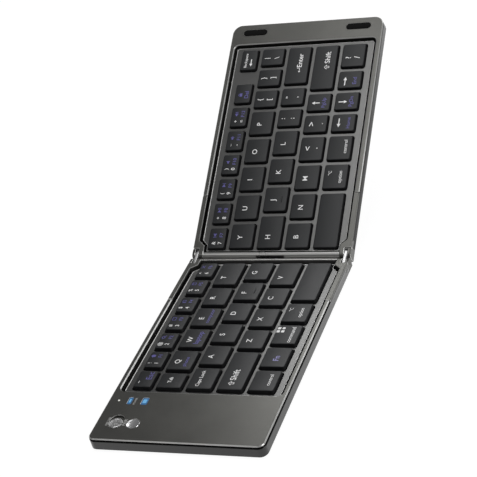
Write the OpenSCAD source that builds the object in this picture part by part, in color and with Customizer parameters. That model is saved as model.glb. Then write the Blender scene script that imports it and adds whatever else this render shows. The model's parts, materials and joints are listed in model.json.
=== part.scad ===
// Folding keyboard in two equal halves on a two-pivot hinge.
// Each half is drawn flat, with x outward from the fold line, and then placed.
// The left half lies on its feet and the right half is folded up.

/* [Pose] */
// Angle that the right half is folded up from flat
fold_angle = 30; // [0:5:90]

/* [Keys] */
// Spacing of the letter keys along a row
letter_pitch = 17; // [16.4:0.1:17.4]
// Spacing of the four full rows
row_pitch = 15.9; // [15:0.1:17]
// Depth of the shallow number row
number_row_d = 12.4; // [11.5:0.1:13.5]
// Width of the tab key's place
tab_w = 13.5; // [13:0.1:14.5]
// Spacing of the narrow symbol and arrow keys
symbol_pitch = 13.25; // [12.8:0.05:13.6]
// Sideways step between neighbouring letter rows
row_stagger = 4.4; // [4:0.1:4.8]
// Width of the backspace key's place
backspace_w = 15.5; // [14.5:0.1:16.5]
// Distance from the fold line to the key field
field_in = 4.4; // [4.3:0.05:5]
// Gap between the foot of one cap and the next, along a row
cap_gap_x = 2.2; // [2:0.1:2.6]
// Gap between the foot of one cap and the next, across the rows
cap_gap_y = 2.3; // [2:0.1:2.6]
// Inward slope of each cap side, foot to top
cap_taper = 0.45; // [0.2:0.05:0.6]
// Corner radius of the caps
cap_corner_r = 1.3; // [0.8:0.1:1.8]
// Height of a cap's top above the key plate
cap_rise = 1.8; // [1.6:0.1:2]
// Length of the cap's skirt below the top face of the key plate
cap_skirt = 0.5; // [0.4:0.1:0.6]
// Depth of the finger dish in a cap
cap_dish = 0.15; // [0.1:0.05:0.25]
// Wall round the pocket under a cap
cap_wall = 1.2; // [0.9:0.1:1.5]
// Depth of the pocket under a cap
cap_pocket = 0.9; // [0.7:0.1:1.1]
// Travel of the keys
key_travel = 1.4; // [1.2:0.1:1.5]
// Gap all round between a cap and its hole in the key plate
cap_clear = 0.2; // [0.15:0.01:0.25]
// Corner radius of the holes in the key plate
hole_corner_r = 1.4; // [1:0.1:1.6]

// Length of the bars that are felt on F and J
homing_l = 3.6; // [3:0.1:4.5]
// Width of those bars
homing_w = 0.6; // [0.4:0.1:0.8]
// Height of those bars above the dish
homing_h = 0.2; // [0.15:0.05:0.3]
// Distance of those bars from the middle of the cap
homing_y = 3.5; // [3:0.1:4.5]

/* [Frame] */
// Depth of the key plate's top face below the rim of the frame
plate_recess = 2; // [1.9:0.1:2.4]
// Thickness of the key plate
plate_t = 1; // [0.8:0.1:1.2]
// Slope on the upper edge of the key plate
plate_bevel = 0.3; // [0.2:0.05:0.4]
// Width of the key plate beyond the key field, at its long sides
plate_margin_y = 2.65; // [2.2:0.05:3.2]
// Width of the key plate beyond the key field, at its outer end
plate_margin_x = 0.9; // [0.8:0.05:1.4]
// Open groove between the key plate and the frame
groove_w = 1.3; // [1.1:0.05:1.5]
// Open groove between the key plate and the hinge brackets
bracket_groove = 0.8; // [0.6:0.05:1]
// Width of the frame's rim along the long sides
rim_w = 2.75; // [2.7:0.05:3.4]
// Width of the bar at the outer end of the right half
end_bar_w = 13.05; // [12:0.05:15]
// Inner edge of the bar beside the fold line
hinge_bar_in = 3.4; // [3.3:0.05:3.5]
// Corner radius at the outer end of the left half
left_corner_r = 3.8; // [3.4:0.1:4.5]
// Corner radius at the outer end of the right half
right_corner_r = 5.5; // [4.5:0.1:6.2]
// Corner radius of the key plate at its outer end
plate_corner_r = 1.4; // [1:0.1:2]
// Slope on the frame's upper outer edge
rim_bevel = 0.4; // [0.3:0.05:0.5]
// Slope on the frame's upper edge round the keys
well_bevel = 0.3; // [0.2:0.05:0.4]
// Height of the frame's outer side, down to the seam
rim_side_h = 0.7; // [0.6:0.05:0.9]
// Open seam between the frame and the bottom shell
seam_gap = 0.6; // [0.4:0.05:0.7]
// Width of the ledge that carries the key plate
ledge_w = 1.7; // [1.6:0.1:2]
// Thickness of the flat cover over the battery bay
cover_t = 1.5; // [1.3:0.1:1.6]

/* [Bottom shell] */
// Thickness of the floor
floor_t = 0.9; // [0.8:0.1:1.2]
// Thickness of the side walls
wall_t = 1.2; // [1:0.1:1.3]
// Slope on the lower outer edge
base_bevel = 0.7; // [0.4:0.1:0.8]
// Height of the ribs under the support plate
rib_h = 0.8; // [0.7:0.1:1.2]
// Width of those ribs
rib_w = 1; // [0.8:0.1:1.6]
// Radius of the screw posts
post_r = 1.25; // [1.15:0.05:1.3]
// Radius of the screw shanks
screw_r = 0.5; // [0.45:0.05:0.55]
// Radius of the screw heads
screw_head_r = 1; // [0.9:0.05:1.1]
// Height of the screw heads
screw_head_h = 0.6; // [0.5:0.05:0.7]
// Length of each rubber foot
foot_l = 10; // [8:0.5:12]
// Width of each rubber foot
foot_w = 4; // [3:0.5:5]
// Height that the feet stand out of the floor
foot_h = 0.6; // [0.5:0.1:1]
// Depth of the seat of each foot
foot_seat = 0.3; // [0.2:0.05:0.4]
// Distance of the first pair of feet from the fold line
foot_in = 9.5; // [9:0.5:12]
// Distance of the second pair of feet from the outer end
foot_out = 14; // [10:0.5:20]
// Distance of the feet from the long edges
foot_side = 12; // [8:0.5:16]

/* [Layers under the keys] */
// Thickness of the sheet that carries the rubber domes
sheet_t = 0.5; // [0.4:0.1:0.7]
// Radius at the foot of a dome
dome_r = 2.7; // [2.4:0.1:2.8]
// Radius at the top of a dome
dome_top_r = 1.5; // [1.2:0.1:1.8]
// Thickness of the metal support plate
support_t = 0.4; // [0.3:0.1:0.6]

/* [Hinge] */
// Distance of each pivot from the fold line
pivot_out = 3; // [3:0.05:3.1]
// Depth of the pivots below the rim
pivot_depth = 2.8; // [2.75:0.05:2.85]
// Gap between the two halves when they lie flat
fold_gap = 0.4; // [0.3:0.05:0.5]
// Radius of the links' round ends
link_r = 2.3; // [2.1:0.05:2.4]
// Thickness of the links
link_w = 1.8; // [1.6:0.1:2]
// Gap on each side of a link in its slot
link_clear = 0.1; // [0.08:0.01:0.15]
// Gap round the end of a link in its slot
link_end_clear = 0.15; // [0.1:0.01:0.2]
// Radius of the hinge pins
pin_r = 0.75; // [0.65:0.05:0.8]
// Gap between a pin and the bore of its link
pin_clear = 0.05; // [0.03:0.01:0.08]
// Length of the seat in the rim for each bracket arm
arm_l = 37.4; // [34:0.1:42]
// Open gap at the end of each bracket arm
arm_gap = 0.25; // [0.2:0.05:0.4]
// Inner face of the bracket blocks, from the middle of the depth
block_in = 38.4; // [38.4:0.05:38.6]
// Length of the bracket blocks along the groove
block_l = 7.5; // [7:0.1:8]
// Length of the slope beside each block
block_slope = 3; // [2.5:0.1:3.5]
// Wall of the lug beyond the link's slot
lug_wall = 1.2; // [1:0.1:1.4]
// Thickness of the lug below the link's slot
lug_floor = 0.35; // [0.3:0.05:0.4]
// Width of the ribbon cable
ribbon_w = 15.2; // [12:0.1:18]
// Thickness of the ribbon cable
ribbon_t = 0.3; // [0.2:0.05:0.4]

/* [Switch, button and lights] */
// Distance of the switch and the button from the outer end
control_out = 12.1; // [11.5:0.1:12.6]
// Place of the power switch across the depth
switch_y = 34.3; // [34:0.1:34.6]
// Radius of the switch knob
knob_r = 3.4; // [3:0.1:3.5]
// Travel of the switch knob
switch_travel = 2; // [1.8:0.1:2.5]
// Depth of the recess round the switch knob
switch_recess = 0.9; // [0.7:0.05:1]
// Gap round the switch knob
knob_clear = 0.2; // [0.15:0.01:0.3]
// Place of the connect button across the depth
button_y = 25.2; // [24.8:0.1:25.6]
// Radius of the connect button
button_r = 3.25; // [3:0.05:3.4]
// Gap round the connect button
button_clear = 0.12; // [0.1:0.01:0.2]
// Travel of the connect button
button_travel = 0.3; // [0.2:0.05:0.35]
// Distance of the status lights from the inner wall of the battery bay
light_in = 5.7; // [5:0.1:6]
// Place of the first status light across the depth
light_y = 33.2; // [33:0.1:33.6]
// Distance between the two light windows
light_pitch = 7.8; // [7:0.1:8.2]
// Place of the charge light across the depth
charge_y = 39.2; // [38.8:0.1:39.4]
// Length of a light window
light_l = 4.8; // [4.4:0.1:5]
// Width of the first light window
light_w = 2.2; // [2:0.1:2.4]
// Width of the second light window
wide_light_w = 3.2; // [3:0.1:3.4]

/* [Parts inside] */
// Length of the battery along the depth
battery_l = 54; // [40:1:56]
// Gap between the battery and what stands beside it
battery_gap = 1; // [0.5:0.1:2]
// Thickness of the battery
battery_t = 3.7; // [3:0.1:3.8]
// Thickness of the main board
board_t = 0.8; // [0.6:0.1:1]
// Height of the main board above the floor
board_lift = 0.7; // [0.5:0.1:0.8]
// Distance of the main board's outer edge from the outer end
board_out = 4; // [3.5:0.1:5]
// Place of the main board's front edge across the depth
board_front = 20.5; // [19:0.1:21]
// Place of the main board's back edge across the depth
board_back = 41; // [40.4:0.1:41.5]
// Gap between the charging port and the middle of the status lights
port_side = 1.05; // [0.8:0.05:1.5]
// Width of the charging port
port_w = 8.9; // [8.6:0.1:9]
// Height of the charging port
port_h = 3.2; // [3.1:0.05:3.25]
// Depth of the charging port
port_d = 7.3; // [6.5:0.1:7.5]
// Wall of the charging port's shell
port_wall = 0.3; // [0.25:0.05:0.35]
// Radius of the closing magnets
magnet_r = 3; // [2.5:0.1:3.2]
// Thickness of the closing magnets
magnet_t = 1.6; // [1.2:0.1:2]
// Distance of the magnets from the outer end
magnet_out = 6; // [5.5:0.1:7]
// Distance of the magnets from the middle of the depth
magnet_y = 8; // [6:0.5:12]
// Length of the rubber bumpers at the right end
bumper_l = 14.2; // [12:0.1:15]
// Width of the rubber bumpers
bumper_w = 3.7; // [3:0.1:4]
// Distance of the bumpers from the outer end
bumper_out = 5.45; // [5:0.05:6]
// Distance of the bumpers from the middle of the depth
bumper_y = 30.6; // [28:0.1:31]
// Depth of the seats of the bumpers
bumper_seat = 0.8; // [0.6:0.1:1]
// Height that the bumpers stand out of the end bar
bumper_rise = 0.3; // [0.2:0.05:0.35]

/* [Hidden] */
$fn = 96;
// Overshoot of cuts, and the smallest gap between neighbouring pieces
cut = 1;
fit_gap = 0.05;
round_fn = 32;

// Plan sizes
left_field_l = 5 * letter_pitch + row_stagger + tab_w;
right_field_l = 5 * letter_pitch + 3 * symbol_pitch;
number_pitch = left_field_l / 7;
modifier_pitch = (left_field_l - 2 * letter_pitch) / 4;
field_d = number_row_d + 4 * row_pitch;
field_y = field_d / 2;
rim_y = field_y + plate_margin_y + groove_w;
half_y = rim_y + rim_w;
plate_y = rim_y - groove_w;
plate_in = hinge_bar_in + groove_w + fit_gap;
half_l = field_in + right_field_l + plate_margin_x + groove_w + end_bar_w;
fold_x = fold_gap / 2;

// Heights, from the table up
base_z = foot_h;
floor_z = base_z + floor_t;
support_z = floor_z + rib_h;
sheet_z = support_z + support_t;
domes_z = sheet_z + sheet_t;
ledge_t = cap_skirt + key_travel + 2 * fit_gap - plate_t;
ledge_z = domes_z + ledge_t;
plate_z = ledge_z + plate_t;
top_z = plate_z + plate_recess;
seam_z = top_z - rim_side_h;
wall_z = seam_z - seam_gap;
cap_z = plate_z - cap_skirt;
cap_h = cap_rise + cap_skirt;
pivot_z = top_z - pivot_depth;

// Screws: their places, the frame left over their ends and the cross in their heads
screw_y = (rim_y + half_y - wall_t) / 2;
screw_places = [14, 60, 100, half_l - 8];
screw_end_z = top_z - 0.6;
cross_size = [1.3, 0.3, 0.5];

// Hinge
bracket_end = arm_l - arm_gap;
arm_z = wall_z + 2 * fit_gap;
slot_y = rim_y;
slot_w = link_w + 2 * link_clear;
slot_r = link_r + link_end_clear;
lug_end = pivot_out + slot_r + lug_wall;
pin_inset = 0.6;
mark_w = 0.4;
mark_d = 1.6;
ribbon_z = domes_z - ribbon_t;
ribbon_room = ribbon_w / 2 + 0.4;
ribbon_notch = 1.5;

// Battery bay, with the cover's underside as its roof
bay_x = well_end(left_field_l) + wall_t;
cover_z = top_z - cover_t;
board_gap = 2;
board_z = floor_z + board_lift;
board_top = board_z + board_t;
board_x = [bay_x + board_gap, half_l - board_out];
board_post_r = 1.2;
magnet_z = cover_z - magnet_t;
magnet_wall = 0.8;
magnet_seat_r = magnet_r + fit_gap + magnet_wall;
battery_x = [bay_x + battery_gap, half_l - magnet_out - magnet_seat_r - battery_gap];
control_x = half_l - control_out;
light_x = bay_x + light_in;
light_r = 0.6;
charge_r = 0.5;

// Power switch and connect button, with the parts below them on the board
stem_r = 1;
flange_t = 0.6;
switch_flange = 0.9;
switch_body = [7, 3, 0.6];
knob_rise = 0.1;
knurl_pitch = 0.8;
knurl_w = 0.35;
knurl_d = 0.2;
knurl_side = 3;
button_body = [3, 3, 0.8];
button_rise = 0.1;
button_edge = 0.3;
body_r = 0.4;

// Charging port
port_x = light_x + port_side + port_w / 2;
port_inset = 0.4;
port_gap = 0.1;
port_back = 1;
tongue_in = 0.8;
tongue_t = 0.7;
tongue_side = 1.15;

// Width of the ledge's lip at the brackets, and first point of the ribs
ledge_lip = 0.3;
rib_start = 8;

function field_end(field_l) = field_in + field_l;
function well_end(field_l) = field_end(field_l) + plate_margin_x + groove_w;

// Rows of keys, back to front, each running outward from the fold line:
// the node of each key and the width of its place, 0 for what is left of the row
LETTER = letter_pitch;
STEPPED = letter_pitch + row_stagger;
L_SIDE = "left_side_keys";
R_SIDE = "right_side_keys";
LEFT_ROWS = [
    [for (i = [1:7]) [L_SIDE, number_pitch]],
    [["key_t", STEPPED], ["key_r", LETTER], ["key_e", LETTER], ["key_w", LETTER],
        ["key_q", LETTER], [L_SIDE, 0]],
    [["key_g", LETTER], ["key_f", LETTER], ["key_d", LETTER], ["key_s", LETTER],
        ["key_a", LETTER], [L_SIDE, 0]],
    [["key_v", STEPPED], ["key_c", LETTER], ["key_x", LETTER], ["key_z", LETTER],
        [L_SIDE, 0]],
    [["left_space_key", 2 * LETTER], [L_SIDE, modifier_pitch], [L_SIDE, modifier_pitch],
        [L_SIDE, modifier_pitch], [L_SIDE, 0]]
];
RIGHT_ROWS = [
    concat([for (i = [1:7]) [R_SIDE, number_pitch]],
        [["", right_field_l - 7 * number_pitch - backspace_w], [R_SIDE, 0]]),
    [["key_y", LETTER], ["key_u", LETTER], ["key_i", LETTER], ["key_o", LETTER],
        ["key_p", LETTER], [R_SIDE, symbol_pitch], [R_SIDE, symbol_pitch], [R_SIDE, 0]],
    [["key_h", STEPPED], ["key_j", LETTER], ["key_k", LETTER], ["key_l", LETTER],
        [R_SIDE, symbol_pitch], [R_SIDE, symbol_pitch], ["enter_key", 0]],
    [["key_b", LETTER], ["key_n", LETTER], ["key_m", LETTER], [R_SIDE, LETTER],
        [R_SIDE, symbol_pitch], [R_SIDE, symbol_pitch], [R_SIDE, 0]],
    [["right_space_key", 2 * LETTER], [R_SIDE, LETTER], [R_SIDE, LETTER],
        [R_SIDE, symbol_pitch], [R_SIDE, symbol_pitch], [R_SIDE, symbol_pitch], [R_SIDE, 0]]
];
function key_start(row, i) = i == 0 ? field_in : key_start(row, i - 1) + row[i - 1][1];
function key_end(row, i, field_l) =
    row[i][1] == 0 ? field_end(field_l) : key_start(row, i) + row[i][1];
function row_back(r) = r == 0 ? field_y : field_y - number_row_d - (r - 1) * row_pitch;
function row_d(r) = r == 0 ? number_row_d : row_pitch;

LEFT_KEYS = ["key_q", "key_w", "key_e", "key_r", "key_t", "key_a", "key_s", "key_d",
    "key_f", "key_g", "key_z", "key_x", "key_c", "key_v", "left_space_key", L_SIDE];
RIGHT_KEYS = ["key_y", "key_u", "key_i", "key_o", "key_p", "key_h", "key_j", "key_k",
    "key_l", "key_b", "key_n", "key_m", "right_space_key", "enter_key", R_SIDE];

// Where things lie when the right half is folded up by the angle a
function right_pivot(a) = [pivot_out * (2 * cos(a / 2) - 1), pivot_z + 2 * pivot_out * sin(a / 2)];
function folded(a, p) = [
    right_pivot(a)[0] + (p[0] - pivot_out) * cos(a) - (p[1] - pivot_z) * sin(a),
    right_pivot(a)[1] + (p[0] - pivot_out) * sin(a) + (p[1] - pivot_z) * cos(a)];
outer_low = folded(fold_angle, [half_l, base_z + base_bevel]);
outer_high = folded(fold_angle, [half_l, top_z - rim_bevel]);
middle_x = (max(outer_low[0], outer_high[0]) - half_l) / 2;

module place_left() {
    translate([-middle_x, 0, 0]) mirror([1, 0, 0]) children();
}

module place_right() {
    translate([right_pivot(fold_angle)[0] - middle_x, 0, right_pivot(fold_angle)[1]])
        rotate([0, -fold_angle, 0]) translate([-pivot_out, 0, -pivot_z]) children();
}

module place_links() {
    translate([-pivot_out - middle_x, 0, pivot_z]) rotate([0, -fold_angle / 2, 0]) children();
}

module both_sides() {
    children();
    mirror([0, 1, 0]) children();
}

// Plain shapes
module bar(x, y, z) {
    translate([x[0], y[0], z[0]]) cube([x[1] - x[0], y[1] - y[0], z[1] - z[0]]);
}

module rounded_rect(w, d, r) {
    square([w - 2 * r, d], center = true);
    square([w, d - 2 * r], center = true);
    for (x = [-1, 1], y = [-1, 1]) translate([x * (w / 2 - r), y * (d / 2 - r)]) circle(r);
}

module slot_shape(l, w) {
    square([l - w, w], center = true);
    for (x = [-1, 1]) translate([x * (l - w) / 2, 0]) circle(w / 2);
}

// Plan of one half with outer corners of radius corner_r, drawn in by an inset. The inset at
// the fold line can differ from the others.
module half_plan(corner_r, inset, fold_inset = 0) {
    r = corner_r - inset;
    x0 = fold_x + fold_inset;
    x1 = half_l - inset;
    y = half_y - inset;
    translate([x0, -y]) square([x1 - r - x0, 2 * y]);
    translate([x0, -y + r]) square([x1 - x0, 2 * (y - r)]);
    for (s = [-1, 1]) translate([x1 - r, s * (y - r)]) circle(r);
}

// A slab of that plan from one height to another, with sloped lower and upper edges
module half_slab(corner_r, z, bevel_low = 0, bevel_high = 0) {
    skin = 0.01;
    rings = [[z[0], bevel_low], [z[0] + bevel_low, 0],
        [z[1] - bevel_high - skin, 0], [z[1] - skin, bevel_high]];
    hull() for (ring = rings) translate([0, 0, ring[0]]) linear_extrude(skin)
        half_plan(corner_r, ring[1], ring[1], $fn = round_fn);
}

// Plan of the well for the keys between its inner and outer ends, stepped in at the hinge
// brackets by a gap beside them
module well_plan(x0, x_end, y1, r, gap = 0) {
    y0 = block_in - gap;
    x1 = block_l + gap;
    x2 = x1 + block_slope;
    polygon([[x0, -y0], [x1, -y0], [x2, -y1], [x_end - r, -y1],
        [x_end - r, y1], [x2, y1], [x1, y0], [x0, y0]]);
    translate([x2, r - y1]) square([x_end - x2, 2 * (y1 - r)]);
    for (s = [-1, 1]) translate([x_end - r, s * (y1 - r)]) circle(r);
}

// A slope cut along one straight edge at the top, from x0 to x1
module edge_cut(x0, x1) {
    side = well_bevel * sqrt(2);
    translate([(x0 + x1) / 2, 0, top_z]) rotate([45, 0, 0]) cube([x1 - x0, side, side], center = true);
}

// Space of one hinge bracket with its arm, grown by a gap where it is cut out of its neighbours
module bracket_space(g = 0, arm_end = bracket_end) {
    y1 = half_y + g;
    bar([fold_x - g, arm_end], [rim_y - g, y1], [arm_z - g, top_z + g]);
    translate([0, 0, ledge_z - g]) linear_extrude(top_z - ledge_z + 2 * g)
        polygon([[fold_x - g, block_in - g], [block_l + g, block_in - g],
            [block_l + block_slope + g, rim_y], [block_l + block_slope + g, y1],
            [fold_x - g, y1]]);
    bar([fold_x - g, lug_end + g], [block_in - g, y1],
        [pivot_z - slot_r - lug_floor - g, top_z + g]);
}

// What a rounded fold edge leaves off, round the pivot
module fold_round(y) {
    difference() {
        bar([fold_x - cut, pivot_out], [-y - cut, y + cut], [pivot_z, top_z + cut]);
        translate([pivot_out, 0, pivot_z]) rotate([90, 0, 0])
            cylinder(r = pivot_out - fold_x, h = 2 * y + 4 * cut, center = true);
    }
}

// Room for a link as it swings from flat to upright
module link_slot() {
    translate([0, slot_y, 0]) {
        translate([pivot_out, 0, pivot_z]) rotate([90, 0, 0])
            cylinder(r = slot_r, h = slot_w, center = true);
        bar([fold_x - cut, pivot_out], [-slot_w / 2, slot_w / 2],
            [pivot_z - slot_r, top_z + cut]);
        bar([fold_x - cut, pivot_out + slot_r], [-slot_w / 2, slot_w / 2],
            [pivot_z, top_z + cut]);
    }
}

module screw_holes(r, z) {
    for (x = screw_places, s = [-1, 1]) translate([x, s * screw_y, z[0]])
        cylinder(r = r, h = z[1] - z[0]);
}

// Lower halves
module bottom_shell(field_l, corner_r) {
    difference() {
        half_slab(corner_r, [base_z, wall_z], bevel_low = base_bevel);
        translate([0, 0, floor_z]) linear_extrude(wall_z + cut - floor_z)
            half_plan(corner_r, wall_t, wall_t, $fn = round_fn);
        bar([fold_x - cut, fold_x + wall_t + cut], [-half_y - cut, half_y + cut],
            [domes_z - fit_gap, wall_z + cut]);
        both_sides() bracket_space(fit_gap, arm_l);
        screw_holes(screw_r + fit_gap, [base_z - cut, floor_z + cut]);
        screw_holes(screw_head_r + fit_gap, [base_z - cut, base_z + screw_head_h]);
        feet_shape([base_z - cut, base_z + foot_seat], 0);
        bar([fold_x - cut, fold_x + wall_t + cut], [-ribbon_room, ribbon_room],
            [ribbon_z - ribbon_t / 2 - 2 * fit_gap, wall_z + cut]);
    }
    for (y = [-2:2]) bar([rib_start, field_end(field_l)],
        [y * row_pitch - rib_w / 2, y * row_pitch + rib_w / 2], [floor_z, support_z]);
    difference() {
        intersection() {
            screw_holes(post_r, [floor_z - floor_t / 2, domes_z - fit_gap]);
            bar([0, half_l], [-half_y + wall_t / 2, half_y - wall_t / 2], [base_z, top_z]);
        }
        screw_holes(screw_r + fit_gap, [base_z - cut, top_z]);
        screw_holes(screw_head_r + fit_gap, [base_z - cut, base_z + screw_head_h]);
    }
}

module left_bottom_shell() {
    color("dimgray") place_left() {
        difference() {
            bottom_shell(left_field_l, left_corner_r);
            port_opening();
        }
        for (x = [board_x[0] + board_gap, board_x[1] - board_gap],
            y = [board_front + board_gap, board_back - board_gap])
            translate([x, y, floor_z]) cylinder(r = board_post_r, h = board_lift);
    }
}

module right_bottom_shell() {
    color("dimgray") place_right() bottom_shell(right_field_l, right_corner_r);
}

// Room for the charging port, through the back wall
module port_opening() {
    y0 = half_y - port_inset - port_d - fit_gap;
    translate([port_x, y0, floor_z + port_h / 2]) rotate([-90, 0, 0])
        linear_extrude(port_d + port_inset + cut)
            slot_shape(port_w + 2 * fit_gap, port_h + 2 * fit_gap);
}

module feet_shape(z, gap) {
    for (x = [foot_in, half_l - foot_out], s = [-1, 1])
        translate([x, s * (half_y - foot_side), z[0]])
            linear_extrude(z[1] - z[0]) slot_shape(foot_l - 2 * gap, foot_w - 2 * gap);
}

module left_feet() {
    color("black") place_left() feet_shape([base_z - foot_h, base_z + foot_seat], fit_gap);
}

module right_feet() {
    color("black") place_right() feet_shape([base_z - foot_h, base_z + foot_seat], fit_gap);
}

module screws() {
    difference() {
        union() {
            screw_holes(screw_head_r, [base_z, base_z + screw_head_h]);
            screw_holes(screw_r, [base_z + screw_head_h, screw_end_z]);
        }
        for (x = screw_places, s = [-1, 1]) translate([x, s * screw_y, base_z])
            for (a = [0, 90]) rotate(a) cube(cross_size, center = true);
    }
}

module left_screws() {
    color("silver") place_left() screws();
}

module right_screws() {
    color("silver") place_right() screws();
}

// Upper frames
module top_frame(field_l, corner_r) {
    x_end = well_end(field_l);
    difference() {
        union() {
            half_slab(corner_r, [seam_z, top_z], bevel_high = rim_bevel);
            translate([0, 0, domes_z]) linear_extrude(seam_z - domes_z)
                half_plan(corner_r, wall_t + fit_gap, $fn = round_fn);
        }
        translate([0, 0, ledge_z]) linear_extrude(top_z + cut - ledge_z)
            well_plan(hinge_bar_in, x_end, rim_y, plate_corner_r + groove_w);
        both_sides() translate([0, rim_y, 0])
            edge_cut(arm_l, x_end - plate_corner_r - groove_w);
        translate([x_end, 0, 0]) rotate(90)
            edge_cut(plate_corner_r + groove_w - rim_y, rim_y - plate_corner_r - groove_w);
        translate([0, 0, domes_z - cut]) linear_extrude(ledge_t + 2 * cut)
            well_plan_under(x_end);
        both_sides() bracket_space(fit_gap, arm_l);
        fold_round(half_y);
        screw_holes(screw_r, [domes_z - cut, screw_end_z + fit_gap]);
    }
}

// Opening of the ledge, below the key plate
module well_plan_under(x_end) {
    x0 = field_in + cap_gap_x / 2 - 2 * cap_clear;
    x1 = x_end - groove_w - plate_margin_x - cap_gap_x / 2 + 2 * cap_clear;
    y = rim_y - groove_w - ledge_w;
    y0 = min(y, block_in - fit_gap - ledge_lip);
    translate([x0, -y0]) square([x1 - x0, 2 * y0]);
    translate([block_l + block_slope + ledge_w, -y])
        square([x1 - block_l - block_slope - ledge_w, 2 * y]);
}

module magnet_seats(r, z) {
    for (s = [-1, 1]) translate([half_l - magnet_out, s * magnet_y, z[0]])
        cylinder(r = r, h = z[1] - z[0]);
}

module left_top_frame() {
    knob_room = 2 * (knob_r + knob_clear);
    stem_room = 2 * (stem_r + knob_clear);
    color("dimgray") place_left() difference() {
        union() {
            difference() {
                top_frame(left_field_l, left_corner_r);
                translate([0, 0, domes_z - cut]) linear_extrude(cover_z - domes_z + cut)
                    half_plan(left_corner_r, 2 * wall_t + fit_gap, bay_x - fold_x, $fn = round_fn);
            }
            magnet_seats(magnet_seat_r, [magnet_z, cover_z]);
        }
        magnet_seats(magnet_r + fit_gap, [magnet_z - cut, cover_z]);
        port_opening();
        translate([control_x, button_y, cover_z - cut])
            cylinder(r = button_r + button_clear, h = cover_t + 2 * cut);
        translate([control_x - switch_travel / 2, switch_y, 0]) {
            translate([0, 0, top_z - switch_recess]) linear_extrude(switch_recess + cut)
                slot_shape(knob_room + switch_travel, knob_room);
            translate([0, 0, cover_z - cut]) linear_extrude(cover_t + cut)
                slot_shape(stem_room + switch_travel, stem_room);
        }
        lights_shape([cover_z - cut, top_z + cut], 0);
    }
}

module right_top_frame() {
    color("dimgray") place_right() difference() {
        top_frame(right_field_l, right_corner_r);
        magnet_seats(magnet_r + fit_gap, [domes_z - cut, cover_z]);
        bumpers_shape([top_z - bumper_seat, top_z + cut], 0);
        bar([fold_x - cut, ribbon_notch], [-ribbon_room, ribbon_room],
            [domes_z - cut, top_z + cut]);
    }
}

// Key plates
module key_holes(rows, field_l) {
    for (r = [0:len(rows) - 1], i = [0:len(rows[r]) - 1]) if (rows[r][i][0] != "") {
        x0 = key_start(rows[r], i) + cap_gap_x / 2 - cap_clear;
        x1 = key_end(rows[r], i, field_l) - cap_gap_x / 2 + cap_clear;
        y1 = row_back(r) - cap_gap_y / 2 + cap_clear;
        y0 = row_back(r) - row_d(r) + cap_gap_y / 2 - cap_clear;
        translate([(x0 + x1) / 2, (y0 + y1) / 2])
            rounded_rect(x1 - x0, y1 - y0, hole_corner_r, $fn = round_fn);
    }
}

// Section of a plate with sloped upper edges
function plate_section(x0, x1) = [[x0, 0], [x1, 0], [x1, plate_t - plate_bevel],
    [x1 - plate_bevel, plate_t], [x0 + plate_bevel, plate_t], [x0, plate_t - plate_bevel]];

module key_plate(rows, field_l) {
    x_end = well_end(field_l) - groove_w;
    translate([0, 0, ledge_z]) difference() {
        intersection() {
            linear_extrude(plate_t)
                well_plan(plate_in, x_end, plate_y, plate_corner_r, bracket_groove);
            rotate([90, 0, 0]) linear_extrude(2 * half_y, center = true)
                polygon(plate_section(plate_in, x_end));
            rotate([90, 0, 90]) linear_extrude(half_l)
                polygon(plate_section(-plate_y, plate_y));
        }
        translate([0, 0, -cut]) linear_extrude(plate_t + 2 * cut) key_holes(rows, field_l);
    }
}

module left_key_plate() {
    color("gray") place_left() key_plate(LEFT_ROWS, left_field_l);
}

module right_key_plate() {
    color("gray") place_right() key_plate(RIGHT_ROWS, right_field_l);
}

// Layers under the keys
module layer(field_l, z) {
    bar([block_l, well_end(field_l) - groove_w],
        [-screw_y + post_r + fit_gap, screw_y - post_r - fit_gap], z);
}

module dome_sheet(rows, field_l) {
    layer(field_l, [sheet_z, domes_z]);
    dome_h = cap_z + cap_pocket - domes_z - fit_gap / 2;
    for (r = [0:len(rows) - 1], i = [0:len(rows[r]) - 1]) if (rows[r][i][0] != "")
        translate([(key_start(rows[r], i) + key_end(rows[r], i, field_l)) / 2,
            row_back(r) - row_d(r) / 2, domes_z])
            cylinder(r1 = dome_r, r2 = dome_top_r, h = dome_h);
}

module left_dome_sheet() {
    color("lightgray") place_left() dome_sheet(LEFT_ROWS, left_field_l);
}

module right_dome_sheet() {
    color("lightgray") place_right() dome_sheet(RIGHT_ROWS, right_field_l);
}

module left_support_plate() {
    color("silver") place_left() layer(left_field_l, [support_z, sheet_z]);
}

module right_support_plate() {
    color("silver") place_right() layer(right_field_l, [support_z, sheet_z]);
}

// Key caps
module cap(w, d) {
    dish_r = (pow(w / 2 - cap_taper, 2) + pow(cap_dish, 2)) / (2 * cap_dish);
    difference() {
        intersection() {
            linear_extrude(cap_h) rounded_rect(w, d, cap_corner_r);
            rotate([90, 0, 0]) linear_extrude(d + cut, center = true)
                polygon([[-w / 2, 0], [w / 2, 0], [w / 2 - cap_taper, cap_h],
                    [-w / 2 + cap_taper, cap_h]]);
            rotate([90, 0, 90]) linear_extrude(w + cut, center = true)
                polygon([[-d / 2, 0], [d / 2, 0], [d / 2 - cap_taper, cap_h],
                    [-d / 2 + cap_taper, cap_h]]);
        }
        translate([0, 0, -cut]) linear_extrude(cap_pocket + cut)
            square([w - 2 * cap_wall, d - 2 * cap_wall], center = true);
        if (w < letter_pitch) translate([0, 0, cap_h - cap_dish + dish_r]) rotate([90, 0, 0])
            cylinder(r = dish_r, h = d + cut, center = true, $fn = 256);
    }
}

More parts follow.
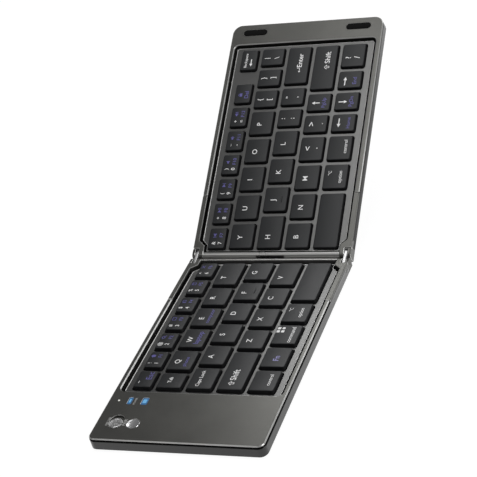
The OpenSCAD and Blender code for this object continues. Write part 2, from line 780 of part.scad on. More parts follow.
module key_caps(rows, field_l, name) {
    for (r = [0:len(rows) - 1], i = [0:len(rows[r]) - 1]) if (rows[r][i][0] == name) {
        x0 = key_start(rows[r], i);
        x1 = key_end(rows[r], i, field_l);
        translate([(x0 + x1) / 2, row_back(r) - row_d(r) / 2, cap_z])
            cap(x1 - x0 - cap_gap_x, row_d(r) - cap_gap_y);
        if (name == "key_f" || name == "key_j")
            translate([(x0 + x1) / 2, row_back(r) - row_d(r) / 2 - homing_y, cap_z + cap_pocket])
                linear_extrude(cap_h - cap_pocket - cap_dish + homing_h)
                    slot_shape(homing_l, homing_w);
    }
}

module left_key(name) {
    color("darkslategray") place_left() key_caps(LEFT_ROWS, left_field_l, name);
}

module right_key(name) {
    color("darkslategray") place_right() key_caps(RIGHT_ROWS, right_field_l, name);
}

// Hinge
module brackets() {
    both_sides() difference() {
        intersection() {
            bracket_space();
            half_slab(left_corner_r, [base_z, top_z], bevel_high = rim_bevel);
        }
        link_slot();
        fold_round(half_y);
        pin();
        screw_holes(screw_r, [base_z, screw_end_z + fit_gap]);
        bar([pivot_out + slot_r, pivot_out + slot_r + mark_w],
            [slot_y - slot_w / 2, half_y + cut], [top_z - mark_d, top_z + cut]);
    }
}

module left_hinge_brackets() {
    color("gray") place_left() brackets();
}

module right_hinge_brackets() {
    color("gray") place_right() brackets();
}

module pin() {
    translate([pivot_out, block_in + pin_inset, pivot_z]) rotate([-90, 0, 0])
        cylinder(r = pin_r, h = half_y - block_in - 2 * pin_inset);
}

module left_hinge_pins() {
    color("silver") place_left() both_sides() pin();
}

module right_hinge_pins() {
    color("silver") place_right() both_sides() pin();
}

module hinge_links() {
    color("silver") place_links() both_sides()
        translate([pivot_out, slot_y + link_w / 2, 0]) rotate([90, 0, 0])
            linear_extrude(link_w) difference() {
                slot_shape(2 * (pivot_out + link_r), 2 * link_r);
                for (x = [-1, 1]) translate([x * pivot_out, 0]) circle(pin_r + pin_clear);
            }
}

// Ribbon cable between the halves: a flat band that bends at the fold
module flex_ribbon() {
    inner = block_l - fit_gap;
    z = ribbon_z;
    path = [[-inner, z], [-fold_x, z], folded(fold_angle, [fold_x, z]),
        folded(fold_angle, [inner, z])];
    lift = ribbon_t / 2;
    tilts = [0, fold_angle / 2, fold_angle / 2, fold_angle];
    function shifted(i, s) = path[i] + s * lift * [-sin(tilts[i]), cos(tilts[i])];
    color("black") translate([-middle_x, ribbon_w / 2, 0]) rotate([90, 0, 0])
        linear_extrude(ribbon_w)
            polygon(concat([for (i = [0:3]) shifted(i, 1)], [for (i = [3:-1:0]) shifted(i, -1)]));
}

// Battery bay, board, port, switch, button and lights
module battery() {
    y1 = board_front - board_gap;
    color("steelblue") place_left()
        bar(battery_x, [y1 - battery_l, y1], [floor_z, floor_z + battery_t]);
}

module main_board() {
    color("darkgreen") place_left() {
        difference() {
            bar(board_x, [board_front, board_back], [board_z, board_top]);
            bar([port_x - port_w / 2 - port_gap, port_x + port_w / 2 + port_gap],
                [half_y - port_inset - port_d - port_gap, half_y], [floor_z, top_z]);
        }
        body(control_x, button_y, button_body);
        body(control_x - switch_travel / 2, switch_y, switch_body);
    }
}

module body(x, y, size) {
    translate([x, y, board_top]) linear_extrude(size[2]) rounded_rect(size[0], size[1], body_r);
}

module usb_port() {
    inner_h = port_h - 2 * port_wall;
    color("silver") place_left() translate([port_x, half_y - port_inset, floor_z + port_h / 2])
        rotate([90, 0, 0]) {
            difference() {
                linear_extrude(port_d) slot_shape(port_w, port_h);
                translate([0, 0, -cut]) linear_extrude(port_d - port_back + cut)
                    slot_shape(port_w - 2 * port_wall, inner_h);
            }
            translate([0, 0, tongue_in]) linear_extrude(port_d - tongue_in - port_back / 2)
                square([port_w - 2 * tongue_side, tongue_t], center = true);
        }
}

module power_switch() {
    knob_z = top_z - switch_recess + fit_gap;
    knob_top = top_z + knob_rise;
    stem_z = board_top + switch_body[2] + fit_gap;
    color("silver") place_left() translate([control_x, switch_y, 0]) {
        difference() {
            translate([0, 0, knob_z]) cylinder(r = knob_r, h = knob_top - knob_z);
            for (i = [-knurl_side:knurl_side]) bar(
                [i * knurl_pitch - knurl_w / 2, i * knurl_pitch + knurl_w / 2],
                [-knob_r, knob_r], [knob_top - knurl_d, knob_top + cut]);
        }
        translate([0, 0, stem_z]) cylinder(r = stem_r, h = knob_z + fit_gap - stem_z);
        translate([0, 0, cover_z - flange_t])
            cylinder(r = stem_r + switch_flange, h = flange_t - fit_gap);
    }
}

module connect_button() {
    edge_z = top_z + button_rise - button_edge;
    stem_z = board_top + button_body[2] + button_travel + fit_gap;
    color("silver") place_left() translate([control_x, button_y, 0]) {
        translate([0, 0, cover_z - fit_gap])
            cylinder(r = button_r, h = edge_z - cover_z + fit_gap);
        translate([0, 0, edge_z])
            cylinder(r1 = button_r, r2 = button_r - button_edge, h = button_edge);
        translate([0, 0, cover_z - flange_t])
            cylinder(r = button_r + flange_t, h = flange_t - fit_gap);
        translate([0, 0, stem_z]) cylinder(r = stem_r, h = cover_z - stem_z);
    }
}

module lights_shape(z, gap) {
    windows = [[light_y, light_w], [light_y - light_pitch, wide_light_w]];
    for (window = windows) translate([light_x, window[0], z[0]]) linear_extrude(z[1] - z[0])
        rounded_rect(light_l - 2 * gap, window[1] - 2 * gap, light_r);
    translate([light_x, charge_y, z[0]]) cylinder(r = charge_r - gap, h = z[1] - z[0]);
}

module status_lights() {
    color("deepskyblue") place_left() lights_shape([board_top, top_z - fit_gap], fit_gap / 2);
}

module left_magnets() {
    color("silver") place_left() magnet_seats(magnet_r, [magnet_z, cover_z]);
}

module right_magnets() {
    color("silver") place_right() magnet_seats(magnet_r, [magnet_z, cover_z]);
}

module bumpers_shape(z, gap) {
    for (s = [-1, 1]) translate([half_l - bumper_out, s * bumper_y, z[0]])
        linear_extrude(z[1] - z[0]) rotate(90) slot_shape(bumper_l - 2 * gap, bumper_w - 2 * gap);
}

module closing_bumpers() {
    color("black") place_right()
        bumpers_shape([top_z - bumper_seat, top_z + bumper_rise], fit_gap);
}

left_bottom_shell();
left_top_frame();
left_key_plate();
left_dome_sheet();
left_support_plate();
left_hinge_brackets();
left_hinge_pins();
left_feet();
left_screws();
left_magnets();
right_bottom_shell();
right_top_frame();
right_key_plate();
right_dome_sheet();
right_support_plate();
right_hinge_brackets();
right_hinge_pins();
right_feet();
right_screws();
right_magnets();
closing_bumpers();
hinge_links();
flex_ribbon();
battery();
main_board();
usb_port();
power_switch();
connect_button();
status_lights();
for (name = LEFT_KEYS) left_key(name);
for (name = RIGHT_KEYS) right_key(name);
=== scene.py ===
import math
import bmesh
import bpy
from mathutils import Matrix, Vector, geometry
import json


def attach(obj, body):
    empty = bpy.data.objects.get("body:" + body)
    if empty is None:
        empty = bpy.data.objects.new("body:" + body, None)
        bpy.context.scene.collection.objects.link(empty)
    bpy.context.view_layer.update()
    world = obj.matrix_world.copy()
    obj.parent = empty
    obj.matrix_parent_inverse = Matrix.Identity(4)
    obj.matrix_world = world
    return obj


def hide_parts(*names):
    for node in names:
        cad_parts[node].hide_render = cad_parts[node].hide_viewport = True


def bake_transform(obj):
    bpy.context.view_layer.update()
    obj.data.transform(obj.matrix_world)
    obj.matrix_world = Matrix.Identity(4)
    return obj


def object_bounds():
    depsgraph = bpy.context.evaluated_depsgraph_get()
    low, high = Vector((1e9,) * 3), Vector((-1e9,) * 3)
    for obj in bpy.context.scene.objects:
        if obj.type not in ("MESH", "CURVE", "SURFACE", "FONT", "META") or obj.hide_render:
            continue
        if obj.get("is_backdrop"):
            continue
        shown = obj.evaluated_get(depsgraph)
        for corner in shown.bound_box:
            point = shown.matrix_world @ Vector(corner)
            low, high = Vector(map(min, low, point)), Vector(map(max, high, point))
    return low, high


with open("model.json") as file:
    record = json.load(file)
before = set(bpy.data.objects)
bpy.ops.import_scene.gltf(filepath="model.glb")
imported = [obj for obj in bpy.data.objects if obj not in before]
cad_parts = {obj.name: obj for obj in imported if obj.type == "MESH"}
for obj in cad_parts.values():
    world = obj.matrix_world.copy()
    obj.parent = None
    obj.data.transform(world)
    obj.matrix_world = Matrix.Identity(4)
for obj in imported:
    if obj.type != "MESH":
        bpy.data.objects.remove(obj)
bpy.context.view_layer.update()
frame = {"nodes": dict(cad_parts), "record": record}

# Sizes in millimetres, as in the CAD source. A half is described flat: u runs outward from
# the fold line, v toward the back, and z up from the table.
MM = 0.001

# The fold, its pivots and the outline of a half
FOLD = math.radians(30)
PIVOT_U, PIVOT_Z = 3.0, 4.4
HALF_L, HALF_V = 144.4, 44.7
FOLD_U = 0.2
HINGE_BAR, ARM = 3.4, 37.4
BLOCK_U, BLOCK_V, BLOCK_SLOPE = 7.5, 38.4, 3.0
RIBBON_ROOM, RIBBON_NOTCH = 8.0, 1.5

# Heights
TOP_Z, PLATE_Z, LEDGE_Z, SHEET_TOP_Z = 7.2, 5.2, 4.2, 3.2
SEAM_Z, ARM_SHELF_Z, BASE_EDGE_Z = 6.5, 5.95, 1.3

# Frames and plates
RIM_V, PLATE_V = 41.95, 40.65
INNER_WALL = 1.25
WELL_R, WELL_BEVEL = 2.7, 0.5
PLATE_MARGIN, GROOVE, BRACKET_GROOVE = 0.9, 1.3, 0.8
PLATE_PLAY = 0.05
PLATE_BAR_R, PLATE_BLOCK_R, PLATE_END_R = 0.5, 0.8, 1.4
LIP_H, LIP_TOP, LIP_FOOT = 0.2, 0.1, 0.32
FINE_EDGE = 0.12
PLAY = 0.1

# Keys: field, rows and widths
FIELD_IN, FIELD_TOP = 4.4, 38.0
NUMBER_D, ROW_D = 12.4, 15.9
LETTER, STEPPED, NUMBER, SYMBOL, MODIFIER, BACKSPACE = 17.0, 21.4, 14.7, 13.25, 17.225, 15.5
GAP_X, GAP_Y = 2.2, 2.3

# Key caps, with the softened upper edge, and the homing bars
CAP_Z, CAP_H, CAP_DISH = 4.7, 2.3, 0.15
TAPER, CORNER, CORNER_MIN, CORNER_SHRINK = 0.45, 1.3, 0.5, 0.6
SOFT = 0.28
SOFT_STEPS, ARC_STEPS, EDGE_STEPS = 4, 5, 8
HOMING_L, HOMING_W, HOMING_V, HOMING_EDGE = 3.6, 0.6, 3.5, 0.1
HOMING_Z = (6.7, 7.05)

# Rubber domes and the sheet that carries them
DOME_R, DOME_TOP_R, DOME_STEPS, DOME_TURN = 2.7, 2.0, 4, 24
DOME_TOP_Z = CAP_Z - 0.02
SHEET_T, SHEET_V = 0.5, 41.5

# Switch, button, lights and bumpers
CONTROL_U, LIGHT_U = HALF_L - 12.1, 116.4
SWITCH_V, KNOB_R, KNOB_ROOM, STEM_W, TRAVEL, RECESS = 34.3, 3.4, 0.2, 2.4, 2.0, 0.9
BUTTON_V, BUTTON_R, BUTTON_DISH = 25.2, 3.25, 0.28
CHARGE_V, CHARGE_R = 39.2, 0.5
WINDOW_L, WINDOW_R, WINDOW_GAP = 4.8, 0.6, 0.03
WINDOWS = ((33.2, 2.2), (25.4, 3.2))
PANE_IN_U, PANE_IN_V, PANE_R, PANE_EDGE = 1.1, 0.6, 0.4, 0.08
INSERT_DEPTH = 1.4
BUMPER_OUT, BUMPER_V, BUMPER_L, BUMPER_W, BUMPER_DEPTH = 5.45, 30.6, 14.2, 3.7, 0.8

# Limits of the mesh work
SHARPEST, STRAIGHT, NO_AREA = 0.3, 0.001, 1e-9
WELD, CAD_WELD = 1e-7, 1e-6
SMALL_TURN = 20
FLAT_ANGLE, BEVEL_ANGLE = math.radians(0.5), math.radians(50)
FLAT_AREA = 20 * MM * MM
SKIN_T, SKIN_Z = 0.3, 1.2

# What differs between the halves
LEFT, RIGHT = -1, 1
SIDES = {LEFT: "left", RIGHT: "right"}
BODY = {LEFT: "left_half", RIGHT: "right_half"}
FIELD_L = {LEFT: 102.9, RIGHT: 124.75}
END_R = {LEFT: 3.8, RIGHT: 5.5}
EDGE_FORM = {LEFT: (0.5, 0.5), RIGHT: (0.0, 0.4)}
LIP_SLOPE = {LEFT: 0.25, RIGHT: 0.1}
OPENING = {LEFT: 0.4, RIGHT: 0.25}
RIGHT_PIVOT = (PIVOT_U * (2 * math.cos(FOLD / 2) - 1), PIVOT_Z + 2 * PIVOT_U * math.sin(FOLD / 2))
REACH = (RIGHT_PIVOT[0] + (HALF_L - PIVOT_U) * math.cos(FOLD)
         - (BASE_EDGE_Z - PIVOT_Z) * math.sin(FOLD))
MIDDLE = (HALF_L - REACH) / 2
FRAME_OF = {
    LEFT: Matrix.Translation((MIDDLE * MM, 0, 0)),
    RIGHT: Matrix.Translation(((RIGHT_PIVOT[0] + MIDDLE) * MM, 0, RIGHT_PIVOT[1] * MM))
    @ Matrix.Rotation(-FOLD, 4, "Y")
    @ Matrix.Translation((-PIVOT_U * MM, 0, -PIVOT_Z * MM)),
}
BODY_OF = {}
for body, members in frame["record"]["behaviour"]["bodies"].items():
    for member in members:
        BODY_OF[member] = body
SLOT_OF = {part["node"]: part["material_slot"] for part in frame["record"]["subparts"]}


# Materials
def material(name, color, rough, metal=0.0, spec=0.5, coat=0.0, grain=0.0, grain_scale=2500.0,
             tone=0.05, mottle=0.0, patch_scale=60.0, stretch=(1, 1, 1), glow=None):
    """A node material whose tone, gloss and fine grain change a little over the surface."""
    m = bpy.data.materials.new(name)
    m.use_nodes = True
    nodes, links = m.node_tree.nodes, m.node_tree.links
    sockets = nodes["Principled BSDF"].inputs
    sockets["Roughness"].default_value = rough
    sockets["Metallic"].default_value = metal
    sockets["Specular IOR Level"].default_value = spec
    sockets["Coat Weight"].default_value = coat
    if glow:
        sockets["Emission Color"].default_value = (*glow[0], 1)
        sockets["Emission Strength"].default_value = glow[1]
    place = nodes.new("ShaderNodeTexCoord")
    size = nodes.new("ShaderNodeMapping")
    size.inputs["Scale"].default_value = stretch
    links.new(place.outputs["Object"], size.inputs["Vector"])

    def noise(scale, detail):
        n = nodes.new("ShaderNodeTexNoise")
        n.inputs["Scale"].default_value = scale
        n.inputs["Detail"].default_value = detail
        links.new(size.outputs["Vector"], n.inputs["Vector"])
        return n.outputs["Fac"]

    patch = noise(patch_scale, 4.0)
    ramp = nodes.new("ShaderNodeValToRGB")
    ramp.color_ramp.elements[0].position = 0.35
    ramp.color_ramp.elements[1].position = 0.65
    ramp.color_ramp.elements[0].color = (*[c * (1 - tone) for c in color], 1)
    ramp.color_ramp.elements[1].color = (*[min(c * (1 + tone), 1) for c in color], 1)
    links.new(patch, ramp.inputs["Fac"])
    links.new(ramp.outputs["Color"], sockets["Base Color"])
    if grain:
        rise = nodes.new("ShaderNodeBump")
        rise.inputs["Strength"].default_value = grain
        rise.inputs["Distance"].default_value = 0.00005
        links.new(noise(grain_scale, 3.0), rise.inputs["Height"])
        links.new(rise.outputs["Normal"], sockets["Normal"])
    if mottle:
        span = nodes.new("ShaderNodeMapRange")
        span.inputs["To Min"].default_value = rough - mottle
        span.inputs["To Max"].default_value = rough + mottle
        links.new(patch, span.inputs["Value"])
        links.new(span.outputs["Result"], sockets["Roughness"])
    return m


M_FRAME = material("frame_paint", (0.118, 0.1175, 0.110), 0.33, metal=0.85, grain=0.2, mottle=0.03)
# Lighter than the frame paint, for chamfers and rims: a painted highlight where light catches the
# edges
M_EDGE_HIGHLIGHT = material("painted_edge_highlight", (0.55, 0.55, 0.54), 0.30, metal=0.7)
# Lighter than the frame paint, for the bar beside the fold: a painted highlight on its rounded top
M_BAR_HIGHLIGHT = material("bar_painted_highlight", (0.340, 0.338, 0.330), 0.28, metal=0.85, grain=0.2, mottle=0.03)
M_PLATE = material("plate_paint", (0.140, 0.140, 0.138), 0.29, metal=0.85, grain=0.15, mottle=0.03)
M_KEY = material("key_plastic", (0.012, 0.013, 0.0145), 0.42, spec=0.4, grain=0.15, mottle=0.03)
# Darker than the key tops, for the cap sides: painted shade
M_KEY_SIDE_SHADE = material("key_side_painted_shade", (0.006, 0.006, 0.007), 0.5, spec=0.3)
# Near black: painted shade in grooves, seams and hollows, and the colour of hidden dark parts
M_SHADE_AND_DARK_PARTS = material("painted_shade_and_dark_parts", (0.005, 0.005, 0.005), 0.7, spec=0.1)
M_SHELL = material("shell_plastic", (0.009, 0.009, 0.0086), 0.2, spec=0.5, coat=0.1, grain=0.15,
                   mottle=0.03)
M_LEGEND = material("legend_white", (0.93, 0.93, 0.93), 0.5)
M_VIOLET = material("legend_violet", (0.11, 0.10, 0.33), 0.5)
M_PALE = material("legend_pale_violet", (0.36, 0.34, 0.66), 0.5)
M_PRINT = material("small_print", (0.50, 0.50, 0.49), 0.5)
M_SILVER = material("brushed_silver", (0.75, 0.75, 0.75), 0.38, metal=1.0, tone=0.3,
                    patch_scale=400.0, mottle=0.08, stretch=(0.2, 1, 1))
M_KNOB = material("knob_silver", (0.88, 0.88, 0.88), 0.28, metal=1.0, grain=0.9, grain_scale=1100.0,
                  tone=0.45, patch_scale=900.0, mottle=0.1)
M_CHROME = material("chrome", (0.72, 0.72, 0.73), 0.22, metal=1.0, mottle=0.03)
M_RUBBER = material("rubber", (0.004, 0.004, 0.004), 0.75, spec=0.08, grain=0.2)
M_LIT = material("lit_window", (0.02, 0.07, 0.15), 0.3, glow=((0.03, 0.14, 0.34), 0.5))
M_LIT_MIDDLE = material("lit_window_middle", (0.08, 0.20, 0.33), 0.3,
                        glow=((0.12, 0.36, 0.62), 0.7))
M_LAMP = material("charge_light", (0.80, 0.80, 0.76), 0.3, glow=((0.8, 0.8, 0.75), 0.3))
M_RIBBON = material("ribbon", (0.010, 0.010, 0.010), 0.35)


# Loops in a plane
def area(loop):
    return sum(a[0] * b[1] - b[0] * a[1] for a, b in zip(loop, loop[1:] + loop[:1])) / 2


def turned(loop, ccw=True):
    return loop if (area(loop) > 0) == ccw else loop[::-1]


def inset(loop, d):
    """Each corner moved by d to the left of the direction of travel."""
    out = []
    for i, p in enumerate(loop):
        a, b = loop[i - 1], loop[(i + 1) % len(loop)]
        e0 = Vector((p[0] - a[0], p[1] - a[1])).normalized()
        e1 = Vector((b[0] - p[0], b[1] - p[1])).normalized()
        n0, n1 = Vector((-e0.y, e0.x)), Vector((-e1.y, e1.x))
        k = d / max(1 + n0.dot(n1), SHARPEST)
        out.append((p[0] + (n0.x + n1.x) * k, p[1] + (n0.y + n1.y) * k))
    return out


def rounded(points, radii, n=6):
    """A closed polygon with its corners rounded; a radius of 0 keeps a corner."""
    out = []
    for i, p in enumerate(points):
        r = radii[i] if isinstance(radii, (list, tuple)) else radii
        p = Vector(p)
        a, b = Vector(points[i - 1]), Vector(points[(i + 1) % len(points)])
        if r <= 0:
            out.append(tuple(p))
            continue
        d0, d1 = (a - p).normalized(), (b - p).normalized()
        half = d0.angle(d1) / 2
        t = r / math.tan(half)
        c = p + (d0 + d1).normalized() * (r / math.sin(half))
        start, end = p + d0 * t - c, p + d1 * t - c
        turn = start.angle_signed(end)
        for k in range(n + 1):
            out.append(tuple(c + Matrix.Rotation(-turn * k / n, 2) @ start))
    return out


def box_loop(u0, u1, v0, v1, r=0.0, n=6):
    return rounded([(u0, v0), (u1, v0), (u1, v1), (u0, v1)], r, n)


def circle_loop(c, r, n=48):
    turn = 2 * math.pi / n
    return [(c[0] + r * math.cos(turn * i), c[1] + r * math.sin(turn * i)) for i in range(n)]


def stadium(c, length, width, along_u=True, n=12):
    l, w = (length, width) if along_u else (width, length)
    r = min(l, w) / 2 - STRAIGHT
    return box_loop(c[0] - l / 2, c[0] + l / 2, c[1] - w / 2, c[1] + w / 2, r, n)


def at(loop, z):
    return [(p[0], p[1], z) for p in loop]


# Meshes
def object_of(name, mesh, mats, body, replaces=(), slot=None, angle=32):
    """Finishes a mesh as an object that rides on a body, or on none where body is empty."""
    for m in mats:
        mesh.materials.append(m)
    mesh.set_sharp_from_angle(angle=math.radians(angle))
    mesh.update()
    o = bpy.data.objects.new(name, mesh)
    bpy.context.scene.collection.objects.link(o)
    if body:
        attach(o, body)
    if replaces:
        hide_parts(*replaces)
    return o


class Shape:
    """Collects the faces of one piece in a half's own millimetres."""

    def __init__(self):
        self.points, self.faces, self.slots = [], [], []

    def add(self, points, faces, slot=0):
        k = len(self.points)
        self.points += [tuple(p) for p in points]
        for f in faces:
            self.faces.append([i + k for i in f])
            self.slots.append(slot)

    def band(self, lower, upper, slot=0):
        n = len(lower)
        self.add(list(lower) + list(upper),
                 [[i, (i + 1) % n, n + (i + 1) % n, n + i] for i in range(n)], slot)

    def cover(self, rings, up=True, slot=0):
        """Fills the space between an outer ring and the rings inside it."""
        flat = [p for ring in rings for p in ring]
        faces = []
        for t in geometry.tessellate_polygon([[Vector(p) for p in ring] for ring in rings]):
            a, b, c = (flat[i] for i in t)
            s = (b[0] - a[0]) * (c[1] - a[1]) - (c[0] - a[0]) * (b[1] - a[1])
            if abs(s) < NO_AREA:
                continue
            faces.append(list(t) if (s > 0) == up else list(t)[::-1])
        self.add(flat, faces, slot)

    def slab(self, outer, holes, z0, z1, top=0.0, hole_top=0.0, slot=0, edge=None, lip=()):
        """A slab with holes, and with sloped upper edges of the given widths. A lip is a row of
        (inset, height, slot) that takes the outer edge's place."""
        edge = slot if edge is None else edge
        tops, bottoms = [], []
        for k, loop in enumerate([outer] + list(holes)):
            loop = turned(loop, k == 0)
            if lip and k == 0:
                below = at(loop, z0)
                bottoms.append(below)
                for d, z, n in lip:
                    above = at(inset(loop, d), z)
                    self.band(below, above, n)
                    below = above
                tops.append(below)
                continue
            c = hole_top if k else top
            head = inset(loop, c) if c else loop
            self.band(at(loop, z0), at(loop, z1 - c), slot)
            if c:
                self.band(at(loop, z1 - c), at(head, z1), edge)
            tops.append(at(head, z1))
            bottoms.append(at(loop, z0))
        self.cover(tops, True, slot)
        self.cover(bottoms, False, slot)

    def prism(self, section, v0, v1, soft=0.0, slot=0):
        """A section in u and z drawn out along v, with its two ends sloped in by soft."""
        section = turned(section)
        ends = inset(section, soft) if soft else section
        rings = []
        for loop, v in ((ends, v1), (section, v1 - soft), (section, v0 + soft), (ends, v0)):
            rings.append([(p[0], v, p[1]) for p in loop])
        for a, b in zip(rings, rings[1:]):
            self.band(a, b, slot)
        n = len(section)
        self.add(rings[0] + rings[-1], [list(range(n))[::-1], [n + i for i in range(n)]], slot)

    def lathe(self, c, profile, n=64, slot=0):
        """A profile of (radius, height) turned about the upright line through c."""
        rings = [at(circle_loop(c, r, n), z) for r, z in profile]
        for a, b in zip(rings, rings[1:]):
            self.band(a, b, slot)
        self.add(rings[-1] + rings[0], [list(range(n)), [n + i for i in range(n)][::-1]], slot)

    def build(self, name, side, mats, body=None, angle=32, replaces=(), slot=None):
        """The shape as an object placed on its half. On the left half u runs toward -X."""
        mesh = bpy.data.meshes.new(name)
        faces = self.faces if side == RIGHT else [f[::-1] for f in self.faces]
        mesh.from_pydata([(p[0] * side * MM, p[1] * MM, p[2] * MM) for p in self.points], [], faces)
        for p, s in zip(mesh.polygons, self.slots):
            p.material_index = s
            p.use_smooth = True
        mesh.transform(FRAME_OF[side])
        bm = bmesh.new()
        bm.from_mesh(mesh)
        bmesh.ops.remove_doubles(bm, verts=bm.verts, dist=WELD)
        bm.to_mesh(mesh)
        bm.free()
        body = BODY[side] if body is None else body
        return object_of(name, mesh, mats, body, replaces, slot, angle)


def depth_in(side, c):
    """How far a point lies inside a half's outline, with its round corners."""
    r = END_R[side]
    du, dv = HALF_L - c.x * side, HALF_V - abs(c.y)
    return r - math.hypot(r - du, r - dv) if max(du, dv) < r else min(du, dv)


def softened(node, width, mats, segments=1, edge_slot=0, side=None):
    """A CAD node's form with its sharp edges taken off, in the node's place. With a side given,
    the faces inside a half's outer skin take the second material, near black as painted shade."""
    mesh = frame["nodes"][node].data.copy()
    mesh.materials.clear()
    for m in mats:
        mesh.materials.append(m)
    bm = bmesh.new()
    bm.from_mesh(mesh)
    bmesh.ops.remove_doubles(bm, verts=bm.verts, dist=CAD_WELD)
    bmesh.ops.dissolve_limit(bm, angle_limit=FLAT_ANGLE, verts=bm.verts, edges=bm.edges)
    bm.to_mesh(mesh)
    bm.free()
    draft = bpy.data.objects.new(node + "_draft", mesh)
    bpy.context.scene.collection.objects.link(draft)
    bevel = draft.modifiers.new("edges", "BEVEL")
    bevel.width = width * MM
    bevel.segments = segments
    bevel.limit_method = "ANGLE"
    bevel.angle_limit = BEVEL_ANGLE
    bevel.use_clamp_overlap = False
    bevel.material = edge_slot
    shown = draft.evaluated_get(bpy.context.evaluated_depsgraph_get())
    shaped = bpy.data.meshes.new_from_object(shown)
    bpy.data.objects.remove(draft)
    shaped.name = node + "_form"
    for p in shaped.polygons:
        p.use_smooth = p.area < FLAT_AREA
        # Faces inside the outer skin become near black: painted shade
        if side:
            c = FRAME_OF[side].inverted() @ p.center / MM
            if depth_in(side, c) > SKIN_T and c.z > SKIN_Z:
                p.material_index = 1
    return object_of(node + "_form", shaped, [], BODY_OF[node], (node,), SLOT_OF[node])


# Layout of the keys
LS, RS = "left_side_keys", "right_side_keys"
ROWS = {
    LEFT: [
        [(LS, NUMBER, n) for n in ("6", "5", "4", "3", "2", "1", "esc")],
        [("key_t", STEPPED, "T"), ("key_r", LETTER, "R"), ("key_e", LETTER, "E"),
         ("key_w", LETTER, "W"), ("key_q", LETTER, "Q"), (LS, 0, "tab")],
        [("key_g", LETTER, "G"), ("key_f", LETTER, "F"), ("key_d", LETTER, "D"),
         ("key_s", LETTER, "S"), ("key_a", LETTER, "A"), (LS, 0, "caps")],
        [("key_v", STEPPED, "V"), ("key_c", LETTER, "C"), ("key_x", LETTER, "X"),
         ("key_z", LETTER, "Z"), (LS, 0, "shift")],
        [("left_space_key", 2 * LETTER, ""), (LS, MODIFIER, "alt"), (LS, MODIFIER, "sign"),
         (LS, MODIFIER, "fn"), (LS, 0, "control")],
    ],
    RIGHT: [
        [(RS, NUMBER, n) for n in ("7", "8", "9", "0", "minus", "equal", "del")]
        + [("", FIELD_L[RIGHT] - 7 * NUMBER - BACKSPACE, ""), (RS, 0, "back")],
        [("key_y", LETTER, "Y"), ("key_u", LETTER, "U"), ("key_i", LETTER, "I"),
         ("key_o", LETTER, "O"), ("key_p", LETTER, "P"), (RS, SYMBOL, "open"),
         (RS, SYMBOL, "close"), (RS, 0, "bar")],
        [("key_h", STEPPED, "H"), ("key_j", LETTER, "J"), ("key_k", LETTER, "K"),
         ("key_l", LETTER, "L"), (RS, SYMBOL, "colon"), (RS, SYMBOL, "quote"),
         ("enter_key", 0, "enter")],
        [("key_b", LETTER, "B"), ("key_n", LETTER, "N"), ("key_m", LETTER, "M"),
         (RS, LETTER, "comma"), (RS, SYMBOL, "stop"), (RS, SYMBOL, "up"), (RS, 0, "shift")],
        [("right_space_key", 2 * LETTER, ""), (RS, LETTER, "alt"), (RS, LETTER, "control"),
         (RS, SYMBOL, "west"), (RS, SYMBOL, "south"), (RS, SYMBOL, "east"), (RS, 0, "slash")],
    ],
}


def keys(side):
    """(node, label, u0, u1, v0, v1) of each key's place on a half."""
    back = FIELD_TOP
    for row in ROWS[side]:
        depth = NUMBER_D if back == FIELD_TOP else ROW_D
        u = FIELD_IN
        for node, width, label in row:
            end = u + width if width else FIELD_IN + FIELD_L[side]
            if node:
                yield node, label, u, end, back - depth, back
            u = end
        back -= depth


# Key caps: rounded foot, sloped sides, a softened upper edge and a shallow dish
def dish(w, x):
    """How far a cap's top lies below its edge, at a distance x from the middle."""
    half = w / 2 - TAPER
    return 0.0 if w >= LETTER else CAP_DISH * max(0.0, 1 - (x / half) ** 2)


def cap_front(w, d, ins):
    """The front edge of a cap's outline from its left side to its right side."""
    x, y = w / 2 - ins, d / 2 - ins
    r = CORNER - min(ins, CORNER - CORNER_MIN) * CORNER_SHRINK
    turns = [math.pi / 2 * k / ARC_STEPS for k in range(ARC_STEPS + 1)]
    left = [(-x + r - r * math.cos(a), -y + r - r * math.sin(a)) for a in turns]
    flat = [(-x + r + 2 * (x - r) * k / EDGE_STEPS, -y) for k in range(1, EDGE_STEPS)]
    return left + flat + [(-p[0], p[1]) for p in left[::-1]]


def add_cap(shape, c, w, d):
    inner = TAPER * (CAP_H - SOFT) / CAP_H
    levels = [(0, CAP_Z, 0), (inner, CAP_Z + CAP_H - SOFT, 1)]
    for k in range(1, SOFT_STEPS + 1):
        a = math.pi / 2 * k / SOFT_STEPS
        ins = inner + SOFT * (1 - math.cos(a)) + (TAPER - inner) * k / SOFT_STEPS
        levels.append((ins, CAP_Z + CAP_H - SOFT * (1 - math.sin(a)), 1))
    rings = []
    for ins, z, sunk in levels:
        front = cap_front(w, d, ins)
        loop = front + [(p[0], -p[1]) for p in front[::-1]]
        rings.append([(c[0] + p[0], c[1] + p[1], z - sunk * dish(w, p[0])) for p in loop])
    # The upright sides and the foot take the darker side material: painted shade on the cap sides
    for k, (a, b) in enumerate(zip(rings, rings[1:])):
        shape.band(a, b, 0 if k else 1)
    n = len(rings[0])
    shape.add(rings[-1], [[k, k + 1, n - 2 - k, n - 1 - k] for k in range(n // 2 - 1)], 0)
    shape.add(rings[0], [list(range(n))[::-1]], 1)


CAPS = {}
PLACES = []
for side in SIDES:
    for node, label, u0, u1, v0, v1 in keys(side):
        shape = CAPS.setdefault((side, node), Shape())
        c = ((u0 + u1) / 2, (v0 + v1) / 2)
        w, d = u1 - u0 - GAP_X, v1 - v0 - GAP_Y
        add_cap(shape, c, w, d)
        if node in ("key_f", "key_j"):
            bar = stadium((c[0], c[1] - HOMING_V), HOMING_L, HOMING_W)
            shape.slab(bar, [], *HOMING_Z, top=HOMING_EDGE)
        PLACES.append((side, node, label, u0, u1, c, w))
for (side, node), shape in CAPS.items():
    shape.build("cap_" + node, side, [M_KEY, M_KEY_SIDE_SHADE], body=node, angle=50, replaces=(node,),
                slot="key_plastic")
